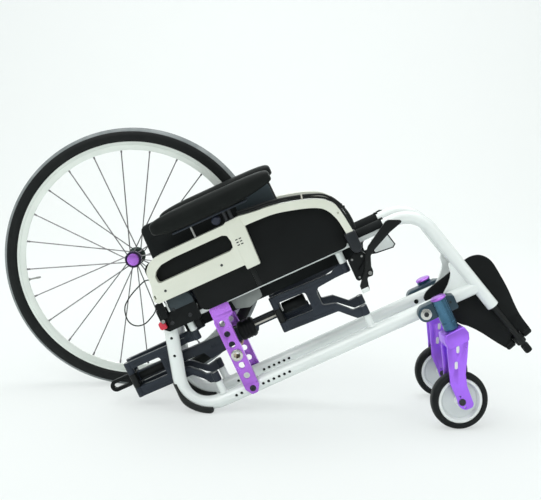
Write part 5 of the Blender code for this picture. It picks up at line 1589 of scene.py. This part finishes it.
class WHEELCHAIR_OT_seat_sling(bpy.types.Operator):
    """Hang the folded seat cloth and its hems over the seat tubes"""
    bl_idname = "wheelchair.seat_sling"
    bl_label = "Seat Sling"

    def execute(self, context):
        for side, sign in SIDES.items():
            self.add_side(side, sign)
        return {"FINISHED"}

    def add_side(self, side, sign):
        start_x = -0.079
        end_x = 0.345
        outer = 0.056
        middle = 0.084
        lengths = (outer, middle, ARM_LENGTH - outer - middle)
        cloth_gap = 0.0003
        setback = (0.0016 + cloth_gap) / 2 / math.tan(FOLDED)
        y = CLOTH_HINGE_Y
        z = 0.212
        for index, (label, length) in enumerate(zip(("outer", "middle", "inner"), lengths)):
            down = -1 if index % 2 == 0 else 1
            space = hinge_space(sign, sign * y, z, -sign * down * CLOTH_ANGLE)
            begin = 0.0 if index == 0 else setback
            cloth = cloth_panel(f"{side}_{label}_seat_cloth", start_x, end_x, 1.0, 60, 12)
            for vert in cloth.data.vertices:
                share = vert.co.y
                vert.co.y = begin + share * (length - setback - begin)
                along = (vert.co.x - start_x) / (end_x - start_x)
                hang = math.sin(math.pi * share)
                vert.co.z = 0.00028 * hang * math.sin(along * 23 + index * 2) - 0.0004
            apply_modifier(cloth, "SOLIDIFY", thickness=0.001, offset=1.0)
            node = [f"{side}_seat_panel_{label}"]
            body = f"{side}_seat_{label}"
            mount(cloth, space, "Seat Cloth", body, node, angle=60)
            y -= length * math.cos(CLOTH_ANGLE)
            z += down * length * math.sin(CLOTH_ANGLE)
        self.add_hem(side, sign)

    def add_hem(self, side, sign):
        """Band of the seat cloth that lies over the tube."""
        outline = arc((0, SEAT_TUBE_Z), SEAT_TUBE + 0.0014, math.radians(-4), math.radians(200), 30)
        outline += arc((0, SEAT_TUBE_Z), SEAT_TUBE + 0.0001, math.radians(200), math.radians(-4), 30)
        band = cut_plate(f"{side}_seat_hem", outline, -0.027, 0.402, 0.0003)
        band.data.transform(ALONG_X)
        band.data.flip_normals()
        mount(band, side_space(sign), "Seat Cloth", f"{side}_side", angle=50)
        hanger = [(0.04, 0.1915), (0.107, 0.1915), (0.106, 0.172), (0.072, 0.161), (0.043, 0.17)]
        plate = cut_plate(f"{side}_seat_support", soften(hanger, 0.003), -0.003, 0.003, 0.001)
        mount(plate, side_space(sign), "Grey Plastic", f"{side}_side")
        nub = box_piece(
            f"{side}_hem_nub", (0.398, -0.006, SEAT_TUBE_Z + 0.012), (0.4075, 0.004, SEAT_TUBE_Z + 0.016),
            0.001,
        )
        mount(nub, side_space(sign), "Black Plastic", f"{side}_side")


# The folding linkage


ARM_POCKETS = ((0.058, 0.16, 0.0785, 0.0815), (0.045, 0.16, 0.1455, 0.1475), (0.086, 0.0945, 0.103, 0.131))


def arm_outline():
    """Outline of a fold arm, from its lug along its length."""
    length = ARM_LENGTH
    return [
        (0, 0.0423), (0.02, 0.0423), (0.034, 0.055), (0.052, 0.072), (length, 0.072), (length, 0.0937),
        (0.1015, 0.0937), (0.1015, 0.138), (length, 0.138), (length, 0.154), (0.034, 0.154), (0.018, 0.1647),
        (0, 0.1647), (0, 0.144), (0.03, 0.142), (0.07, 0.137), (0.0775, 0.13), (0.079, 0.122),
        (0.079, 0.096), (0.052, 0.09), (0.024, 0.0625), (0, 0.0625),
    ]


class WHEELCHAIR_OT_fold_arms(bpy.types.Operator):
    """Model the four fold arms"""
    bl_idname = "wheelchair.fold_arms"
    bl_label = "Fold Arms"

    def execute(self, context):
        ends = (("front", FRONT_LUG_X, 0.0, 0.0), ("rear", REAR_LUG_X, 0.033, 0.0168))
        for side, sign in SIDES.items():
            for end, lug_x, knee, offset in ends:
                self.add_arm(side, sign, end, lug_x, knee, offset)
        return {"FINISHED"}

    def add_arm(self, side, sign, end, lug_x, knee, offset):
        body = f"{side}_{end}_arm"
        space = turned_space(sign, lug_x, 0, sign * FOLDED)
        outline = [(lug_x - along, z) for along, z in soften(arm_outline(), 0.006)]
        plate = cut_plate(f"{body}_plate", outline, -0.0055, 0.0055, 0.0)
        pockets = []
        for x0, x1, z0, z1 in ARM_POCKETS:
            for low, high in ((0.0047, 0.02), (-0.02, -0.0047)):
                pockets.append(box_piece("pocket", (lug_x - x1, low, z0), (lug_x - x0, high, z1), 0))
        cut_away(plate, joined("pockets", *pockets))
        if offset:
            choose(plate)
            edit_whole_mesh()
            bpy.ops.mesh.bisect(plane_co=(lug_x - knee, 0, 0), plane_no=(1, 0, 0))
            bpy.ops.object.mode_set(mode="OBJECT")
            for vert in plate.data.vertices:
                along = lug_x - vert.co.x
                share = along / knee if along < knee else (ARM_LENGTH - along) / (ARM_LENGTH - knee)
                vert.co.y -= offset * share
        bores = []
        spine_x = lug_x - ARM_LENGTH
        for x in (lug_x, spine_x):
            bores.append(peg("bore", (x, 0, 0.03), (x, 0, 0.18), PIN_BORE, 20, 0.0))
        cut_away(plate, *bores)
        round_edges(plate, 0.0009, 2)
        mount(plate, space, "Slate Coating", body, [f"{side}_{end}_fold_arm"], angle=40)
        knuckles = []
        for x, low, high, radius in (
            (lug_x, 0.0423, 0.0625, 0.0085), (lug_x, 0.144, 0.1647, 0.0085),
            (spine_x, 0.072, 0.0937, 0.008), (spine_x, 0.1265, 0.154, 0.008),
        ):
            edge = 0.0008
            profile = [
                (PIN_BORE, low), (radius - edge, low), (radius, low + edge), (radius, high - edge),
                (radius - edge, high), (PIN_BORE, high),
            ]
            knuckles.append(lathe("knuckle", profile, (x, 0, 0), 32, (0, 0, 1)))
        mount(joined(f"{body}_knuckles", *knuckles), space, "Slate Coating", body)


class WHEELCHAIR_OT_fold_spine(bpy.types.Operator):
    """Model the middle beam with its knob, blocks, pins and pull loop"""
    bl_idname = "wheelchair.fold_spine"
    bl_label = "Fold Spine"

    def execute(self, context):
        low = 0.0943
        high = 0.1262
        beam = [
            (SPINE_REAR_X, 0.103), (-0.07, 0.101), (-0.06, 0.082), (0.062, 0.096), (0.066, 0.1055),
            (SPINE_FRONT_X, 0.1055), (SPINE_FRONT_X, 0.1215), (SPINE_REAR_X, 0.1235),
        ]
        bar = cut_plate("fold_beam", soften(beam, 0.004), -0.007, 0.007, 0.0)
        pockets = []
        for x0, x1 in ((-0.05, -0.005), (0.002, 0.022)):
            for y0, y1 in ((0.0055, 0.02), (-0.02, -0.0055)):
                pockets.append(box_piece("pocket", (x0, y0, 0.103), (x1, y1, 0.1165), 0))
        cut_away(bar, joined("pockets", *pockets))
        round_edges(bar, 0.001, 2)
        mount(bar, CHAIR, "Slate Coating", "spine", ["fold_spine"])
        blocks = []
        pins = []
        for x in (SPINE_FRONT_X, SPINE_REAR_X):
            blocks.append(box_piece(
                "block", (x - 0.0075, -SPINE_PIVOT_Y, low), (x + 0.0075, SPINE_PIVOT_Y, high), 0.0008,
            ))
            for y in (-SPINE_PIVOT_Y, SPINE_PIVOT_Y):
                blocks.append(peg("boss", (x, y, low), (x, y, high), LUG_RADIUS, 32, 0.0008))
                pins.append(peg("pin", (x, y, 0.072), (x, y, 0.154), PIN_RADIUS, 24))
        mount(joined("spine_blocks", *blocks), CHAIR, "Black Coating", "spine")
        mount(joined("spine_pins", *pins), CHAIR, "Zinc Bolt", "spine")
        knob = [(0, -0.0195), (0.0135, -0.0195), (0.0178, -0.0185), (0.0206, -0.0158), (0.022, -0.0118)]
        for rib in (-0.0068, 0.0, 0.0068):
            knob += [
                (0.0222, rib - 0.003), (0.0211, rib - 0.0016), (0.0211, rib + 0.0016),
                (0.0222, rib + 0.003),
            ]
        knob += [(0.022, 0.0118), (0.0206, 0.0158), (0.0178, 0.0185), (0.0135, 0.0195), (0, 0.0195)]
        grip = lathe("spine_knob", knob, (0.0395, 0, 0.1095), 48, (1, 0, 0))
        mount(grip, CHAIR, "Black Plastic", "spine", angle=50)
        rod = peg("spine_rod", (0.051, 0, 0.1135), (SPINE_FRONT_X - 0.006, 0, 0.1135), 0.0082, 32, 0.0008)
        mount(rod, CHAIR, "Cream Strap", "spine")
        cover = peg(
            "spine_rod_cover", (0.053, 0, 0.1155), (SPINE_FRONT_X - 0.006, 0, 0.1155), 0.0084, 32, 0.0008,
        )
        mount(cover, CHAIR, "Black Coating", "spine")
        barrels = [peg("barrel", (0.13, 0, 0.1175), (0.183, 0, 0.1175), 0.0128, 40, 0.0016)]
        web = box_piece("spine_web", (0.124, -0.003, 0.0975), (0.186, 0.003, 0.112), 0.0008)
        mount(web, CHAIR, "Slate Coating", "spine")
        barrels.append(peg("barrel", (-0.2215, 0, 0.1125), (-0.15, 0, 0.1125), 0.011, 40, 0.0016))
        mount(joined("spine_barrels", *barrels), CHAIR, "Black Plastic", "spine", angle=50)
        end = SPINE_REAR_X - 0.0078
        outer = self.loop_outline(-0.293, end + 0.004, 0.1, 0.1265)
        ring = cut_plate("pull_loop_ring", outer, -0.006, 0.006, 0.0)
        inner = cut_plate("inner", self.loop_outline(-0.285, end - 0.01, 0.1078, 0.1187), -0.02, 0.02, 0.0)
        cut_away(ring, inner, box_piece("trim", (end, -0.02, 0.09), (end + 0.02, 0.02, 0.14), 0))
        round_edges(ring, 0.0018, 3)
        mount(ring, CHAIR, "Black Plastic", "spine", ["fold_pull_loop"], angle=45)
        return {"FINISHED"}

    def loop_outline(self, x0, x1, z0, z1):
        """A rounded outline that fills the box."""
        shape = stadium((x1 - x0) / 2, (z1 - z0) / 2, 10)
        return [((x0 + x1) / 2 + x, (z0 + z1) / 2 + z) for x, z in shape]


# The brakes


class WHEELCHAIR_OT_brakes(bpy.types.Operator):
    """Model the brake bodies and their paddle levers"""
    bl_idname = "wheelchair.brakes"
    bl_label = "Brakes"

    def execute(self, context):
        for side, sign in SIDES.items():
            self.add_side(side, sign)
        flap = [(0.37, 0.164), (0.408, 0.159), (0.414, 0.133), (0.408, 0.1285), (0.368, 0.132)]
        arm = [
            (0.334, 0.15), (0.334, 0.14), (0.368, 0.13), (0.409, 0.1262), (0.4165, 0.132),
            (0.4105, 0.16), (0.408, 0.159), (0.414, 0.133), (0.408, 0.1285), (0.368, 0.133),
            (0.366, 0.144),
        ]
        space = side_space(1)
        mount(
            cut_plate("left_brake_flap", soften(flap, 0.002), 0.016, 0.018, 0.0006), space, "Caster Rim",
            "left_side",
        )
        mount(
            cut_plate("left_brake_flap_edge", arm, 0.0155, 0.0185, 0.0004), space, "Black Coating",
            "left_side",
        )
        return {"FINISHED"}

    def add_side(self, side, sign):
        body_line = [
            (0.306, 0.122), (0.338, 0.122), (0.343, 0.131), (0.343, 0.168), (0.338, 0.1775), (0.318, 0.1775),
            (0.303, 0.164), (0.303, 0.128),
        ]
        x, z = BRAKE_PIVOT
        lever_line = [
            (x - 0.009, z - 0.006), (x + 0.003, z - 0.0085), (0.3425, 0.13), (0.3425, 0.14),
            (0.3512, 0.162), (0.364, 0.1705), (0.4074, 0.1905), (0.4365, 0.199), (0.439, 0.2015),
            (0.4375, 0.205), (0.415, 0.2155), (0.408, 0.215), (0.354, 0.1825), (0.3415, 0.168),
            (0.328, 0.1405), (0.304, 0.112), (0.304, 0.095), (0.32, 0.095), (0.322, 0.108),
        ]
        low = 0.0303
        high = low + 0.006
        space = side_space(sign)
        plate = cut_plate(f"{side}_brake_housing", soften(body_line, 0.005), 0.0142, 0.03, 0.0)
        slot = [(0.326 + sx * 0.8, 0.152 + sx * 0.6 + sz) for sx, sz in stadium(0.013, 0.0028)]
        cut_away(plate, cut_plate("slot", slot, 0.026, 0.04, 0.0))
        round_edges(plate, 0.0014, 3)
        mount(
            plate, space, "Black Plastic", f"{side}_side", [f"{side}_brake_body"], angle=45,
        )
        pins = [peg("pin", (x, 0.026, z), (x, high + 0.003, z), PIN_RADIUS, 24, 0.0008)]
        for px, pz in ((0.3115, 0.1285), (0.3335, 0.168), (0.312, 0.169)):
            pins.append(peg("pin", (px, 0.0295, pz), (px, 0.0301, pz), 0.0024, 20, 0.0001))
        mount(joined(f"{side}_brake_rivets", *pins), space, "Zinc Bolt", f"{side}_side")
        paddle = cut_plate("paddle", soften(lever_line, 0.006, 5), low, high, 0.0)
        cut_away(paddle, peg("bore", (x, 0.02, z), (x, 0.05, z), PIN_BORE, 24, 0.0))
        round_edges(paddle, 0.0012, 3)
        grip = box_piece("grip", (0.398, low - 0.008, 0.1965), (0.424, low + 0.002, 0.208), 0.003, 3)
        lever = joined(f"{side}_brake_paddle", paddle, grip)
        mount(
            lever, space, "Black Coating", f"{side}_lever", [f"{side}_brake_lever"], angle=45,
        )
        shoe = box_piece(
            f"{side}_brake_shoe", (0.3035, low - 0.011, 0.095), (0.3202, high + 0.0008, 0.105), 0.002, 3,
        )
        mount(shoe, space, "Caster Rim", f"{side}_lever")


# The removed wheel

WHEEL_CENTRE = Vector(JOINTS["rear_wheel_spin"]["pos_m"])
SPOKE_COUNT = 24
SPOKE_END = 0.255
HUB_BORE = 0.00675


class WHEELCHAIR_OT_rear_wheel(bpy.types.Operator):
    """Model the removed rear wheel: tyre, rim, spokes, hub, axle and valve"""
    bl_idname = "wheelchair.rear_wheel"
    bl_label = "Rear Wheel"

    def execute(self, context):
        sizes = context.scene.wheelchair_sizes
        space = Matrix.Translation(WHEEL_CENTRE)
        sides = sizes.wheel_sides
        tyre = [
            (0.273, -0.012), (0.2745, -0.014), (0.279, -0.016), (0.285, -0.0165), (0.29, -0.016),
            (0.2938, -0.015), (0.2963, -0.0136), (0.2968, -0.0124), (0.2968, 0.0124),
        ]
        tyre += [(radius, -along) for radius, along in reversed(tyre[:7])]
        wall = lathe("tyre_wall", tyre, (0, 0, 0), sides)
        mount(wall, space, "Tyre Rubber", "rear_wheel", ["wheel_tyre"], angle=60)
        tread = [(0.296, -0.0135), (0.2985, -0.0118), (0.3015, -0.0086), (0.3033, -0.0048)]
        profile = list(tread)
        for groove in (-0.0032, 0.0032):
            profile += [
                (0.304, groove - 0.001), (0.303, groove - 0.0005), (0.303, groove + 0.0005),
                (0.304, groove + 0.001),
            ]
        profile += [(radius, -along) for radius, along in reversed(tread)]
        band = lathe("tyre_tread", profile, (0, 0, 0), sides)
        # The tread band's pale grey material is painted highlight.
        mount(band, space, "Tread Painted Highlight", "rear_wheel", angle=50)
        rings = []
        for radius, out in ((0.2775, 0.0156), (0.2885, 0.0161)):
            for along in (-out, out):
                line = [
                    (radius, along - 0.0006), (radius + 0.0009, along), (radius, along + 0.0006),
                    (radius - 0.0009, along),
                ]
                rings.append(lathe("ring", line, (0, 0, 0), sides))
        mount(joined("tyre_wall_lines", *rings), space, "Tyre Rubber", "rear_wheel", angle=80)
        rim = [
            (0.2532, -0.007), (0.254, -0.0084), (0.2585, -0.01), (0.2636, -0.0107), (0.2652, -0.011),
            (0.2656, -0.0098), (0.2668, -0.0098), (0.2672, -0.0111), (0.2727, -0.0113), (0.2727, 0.0113),
            (0.265, 0.011), (0.2605, 0.0086), (0.257, 0.003), (0.2545, -0.003),
        ]
        hoop = lathe("rim_hoop", rim, (0, 0, 0), sides)
        mount(hoop, space, "Rim Alloy", "rear_wheel", ["wheel_rim"], angle=32)
        self.add_spokes(space, sizes.spoke_radius)
        self.add_hub(space)
        return {"FINISHED"}

    def add_spokes(self, space, radius):
        spokes = []
        nipples = []
        for index in range(SPOKE_COUNT):
            near = index % 2 == 0
            flange, along = (0.0165, -0.016) if near else (0.0186, 0.029)
            turn = 2 * math.pi * (index + 0.5) / SPOKE_COUNT
            start = turn + math.radians(22) * (1 if near else -1)
            first = Vector((flange * math.cos(start), along, flange * math.sin(start)))
            second = Vector((SPOKE_END * math.cos(turn), 0, SPOKE_END * math.sin(turn)))
            spokes.append(peg("spoke", first, second, radius, 10, 0.0))
            way = (second - first).normalized()
            profile = [
                (0, 0), (0.0016, 0), (0.0021, 0.0008), (0.0021, 0.006), (0.0026, 0.0068), (0.0026, 0.008),
                (0, 0.008),
            ]
            nipples.append(lathe("nipple", profile, second - way * 0.0075, 12, way))
        mount(
            joined("wheel_spokes", *spokes), space, "Spoke Steel", "rear_wheel",
            ["wheel_hub_and_spokes"], angle=50,
        )
        mount(
            joined("spoke_nipples", *nipples), space, "Spoke Steel", "rear_wheel", angle=50,
        )

    def add_hub(self, space):
        bore = HUB_BORE
        shell = [
            (bore, -0.0135), (0.0065, -0.0135), (0.0065, -0.017), (0.015, -0.017), (0.015, -0.0243),
            (0.0176, -0.0243), (0.0192, -0.023), (0.0192, -0.015), (0.0178, -0.0138), (0.014, -0.0118),
            (0.0125, -0.008), (0.0122, 0.0245), (bore, 0.0245),
        ]
        hub = lathe("hub_shell", shell, (0, 0, 0), 56)
        mount(hub, space, "Dark Anodising", "rear_wheel", angle=32)
        disc = [
            (bore, 0.024), (0.015, 0.025), (0.0196, 0.0262), (0.0208, 0.0272), (0.0208, 0.0306),
            (0.0198, 0.0318), (0.015, 0.0322), (0.012, 0.0335), (bore, 0.0335),
        ]
        flange = lathe("hub_far_flange", disc, (0, 0, 0), 56)
        mount(flange, space, "Far Flange", "rear_wheel")
        axle = peg("axle_bar", (0, -0.0132, 0), (0, 0.08, 0), 0.00635, 32, 0.0012)
        mount(axle, space, "Polished Steel", "left_side", ["wheel_axle_pin"])
        balls = []
        for turn in (0.4, 0.4 + math.pi):
            ball = [(0, -0.0022), (0.0014, -0.0017), (0.0022, 0), (0.0014, 0.0017), (0, 0.0022)]
            balls.append(lathe("ball", ball, (0.0052 * math.cos(turn), 0.072, 0.0052 * math.sin(turn)), 16))
        mount(joined("axle_lock_balls", *balls), space, "Polished Steel", "left_side", angle=80)
        cap = [
            (0, -0.0255), (0.0118, -0.0255), (0.0138, -0.0248), (0.0145, -0.0236), (0.0145, -0.0205),
            (0, -0.0205),
        ]
        knob = lathe("wheel_cap_knob", cap, (0, 0, 0), 48)
        mount(knob, space, "Plate Anodising", "wheel_cap", ["wheel_release_cap"], angle=35)
        turn = math.radians(-167)
        way = Vector((-math.cos(turn), 0, -math.sin(turn)))
        foot = Vector((SPOKE_END * math.cos(turn), 0, SPOKE_END * math.sin(turn)))
        stem = [
            (0, 0), (0.0034, 0), (0.0034, 0.002), (0.002, 0.003), (0.002, 0.017), (0.0025, 0.018),
            (0.0025, 0.026), (0.0018, 0.028), (0, 0.028),
        ]
        mount(lathe("tyre_valve", stem, foot, 24, way), space, "Zinc Bolt", "rear_wheel")


# The stage


# The camera that fits the photograph, and the photograph's width and focal length in pixels
CAMERA_PLACE = (0.0337, -1.8399, 0.6715)
CAMERA_TURN = (84.064, -1.26, 0.508)
CAMERA_RISE = -0.1114
PHOTO_WIDTH = 541
FOCAL_LENGTH = 834.3


class WHEELCHAIR_OT_stage(bpy.types.Operator):
    """Set up the pale ground, the soft lamps and the camera"""
    bl_idname = "wheelchair.stage"
    bl_label = "Stage"

    def execute(self, context):
        self.add_ground()
        self.add_light(context)
        self.add_camera(context)
        context.scene.view_settings.view_transform = "Standard"
        return {"FINISHED"}

    def add_ground(self):
        line = [(-6.0, 0.0)] + arc((2.2, 1.6), 1.6, -math.pi / 2, 0, 24) + [(3.8, 7.0)]
        bpy.ops.object.select_all(action="DESELECT")
        bpy.ops.mesh.primitive_grid_add(x_subdivisions=1, y_subdivisions=len(line) - 1, size=1)
        ground = bpy.context.object
        ground.name = "studio_ground"
        for vert in ground.data.vertices:
            index = round((vert.co.y + 0.5) * (len(line) - 1))
            y, z = line[index]
            vert.co = (vert.co.x * 16, y, z)
        bpy.ops.object.shade_smooth()
        paper = bpy.data.materials.new("Studio Paper")
        paper.use_nodes = True
        tree = paper.node_tree
        shader = tree.nodes["Principled BSDF"]
        shader.inputs["Base Color"].default_value = (0.86, 0.89, 0.88, 1)
        shader.inputs["Roughness"].default_value = 0.9
        shader.inputs["Specular IOR Level"].default_value = 0.1
        glow = tree.nodes.new("ShaderNodeEmission")
        glow.inputs["Color"].default_value = (0.88, 0.915, 0.91, 1)
        seen = tree.nodes.new("ShaderNodeLightPath")
        mix = tree.nodes.new("ShaderNodeMixShader")
        share = math_node(tree, "MULTIPLY", seen.outputs["Is Camera Ray"], 0.6)
        tree.links.new(share, mix.inputs["Fac"])
        tree.links.new(shader.outputs["BSDF"], mix.inputs[1])
        tree.links.new(glow.outputs["Emission"], mix.inputs[2])
        tree.links.new(mix.outputs["Shader"], tree.nodes["Material Output"].inputs["Surface"])
        ground.data.materials.append(paper)

    def add_light(self, context):
        world = bpy.data.worlds.new("Studio World")
        context.scene.world = world
        world.use_nodes = True
        back = world.node_tree.nodes["Background"]
        back.inputs["Color"].default_value = (0.93, 1.0, 0.97, 1)
        tree = world.node_tree
        place = tree.nodes.new("ShaderNodeTexCoord")
        parts = tree.nodes.new("ShaderNodeSeparateXYZ")
        rise = tree.nodes.new("ShaderNodeMapRange")
        for label, value in (("From Min", -0.1), ("From Max", 0.9), ("To Min", 0.4), ("To Max", 0.66)):
            rise.inputs[label].default_value = value
        tree.links.new(place.outputs["Generated"], parts.inputs["Vector"])
        tree.links.new(parts.outputs["Z"], rise.inputs["Value"])
        across = math_node(tree, "MULTIPLY_ADD", parts.outputs["X"], -0.1, rise.outputs["Result"])
        tree.links.new(across, back.inputs["Strength"])
        lamps = (
            ("key", (-1.6, -2.2, 2.8), (-0.1, 0, 0.2), 2.6, 50),
            ("fill", (2.4, -1.6, 1.8), (0.2, 0, 0.3), 2.4, 19),
            ("top", (0.2, 0.6, 3.2), (0, 0, 0), 3.0, 30),
            ("backdrop", (0.0, 1.2, 3.4), (0, 3.6, 1.2), 3.0, 60),
        )
        for name, spot, target, size, power in lamps:
            bpy.ops.object.select_all(action="DESELECT")
            bpy.ops.object.light_add(type="AREA", location=spot)
            lamp = bpy.context.object
            lamp.name = f"{name}_lamp"
            lamp.data.size = size
            lamp.data.energy = power
            way = Vector(target) - Vector(spot)
            lamp.rotation_euler = way.to_track_quat("-Z", "Y").to_euler()

    def add_camera(self, context):
        bpy.ops.object.select_all(action="DESELECT")
        bpy.ops.object.camera_add(location=CAMERA_PLACE)
        camera = bpy.context.object
        camera.name = "photo_camera"
        camera.rotation_euler = [math.radians(angle) for angle in CAMERA_TURN]
        camera.data.lens = FOCAL_LENGTH / PHOTO_WIDTH * camera.data.sensor_width
        camera.data.shift_y = CAMERA_RISE
        camera.data.clip_start = 0.05
        camera.data.clip_end = 60
        context.scene.camera = camera


class WHEELCHAIR_PT_pieces(bpy.types.Panel):
    bl_idname = "WHEELCHAIR_PT_pieces"
    bl_label = "Wheelchair"
    bl_space_type = "VIEW_3D"
    bl_region_type = "UI"
    bl_category = "Wheelchair"

    def draw(self, context):
        for operator in OPERATORS:
            self.layout.operator(operator.bl_idname)
        for group in (context.scene.wheelchair_colours, context.scene.wheelchair_sizes):
            for name in group.__annotations__:
                self.layout.prop(group, name)


OPERATORS = (
    WHEELCHAIR_OT_materials, WHEELCHAIR_OT_side_frames, WHEELCHAIR_OT_bumpers, WHEELCHAIR_OT_axle_plates,
    WHEELCHAIR_OT_caster_housings, WHEELCHAIR_OT_caster_forks, WHEELCHAIR_OT_caster_wheels,
    WHEELCHAIR_OT_footrests, WHEELCHAIR_OT_armrest_frames, WHEELCHAIR_OT_arm_pads,
    WHEELCHAIR_OT_backrest_posts, WHEELCHAIR_OT_back_panels, WHEELCHAIR_OT_seat_sling,
    WHEELCHAIR_OT_fold_arms, WHEELCHAIR_OT_fold_spine, WHEELCHAIR_OT_brakes, WHEELCHAIR_OT_rear_wheel,
    WHEELCHAIR_OT_stage, WHEELCHAIR_OT_brake_cables,
)
CLASSES = (WheelchairColours, WheelchairSizes) + OPERATORS + (WHEELCHAIR_PT_pieces,)


def register():
    for item in CLASSES:
        bpy.utils.register_class(item)
    bpy.types.Scene.wheelchair_colours = bpy.props.PointerProperty(type=WheelchairColours)
    bpy.types.Scene.wheelchair_sizes = bpy.props.PointerProperty(type=WheelchairSizes)


def unregister():
    del bpy.types.Scene.wheelchair_sizes
    del bpy.types.Scene.wheelchair_colours
    for item in reversed(CLASSES):
        bpy.utils.unregister_class(item)


def main():
    register()
    for operator in OPERATORS:
        group, name = operator.bl_idname.split(".")
        getattr(getattr(bpy.ops, group), name)()


if __name__ == "__main__":
    main()
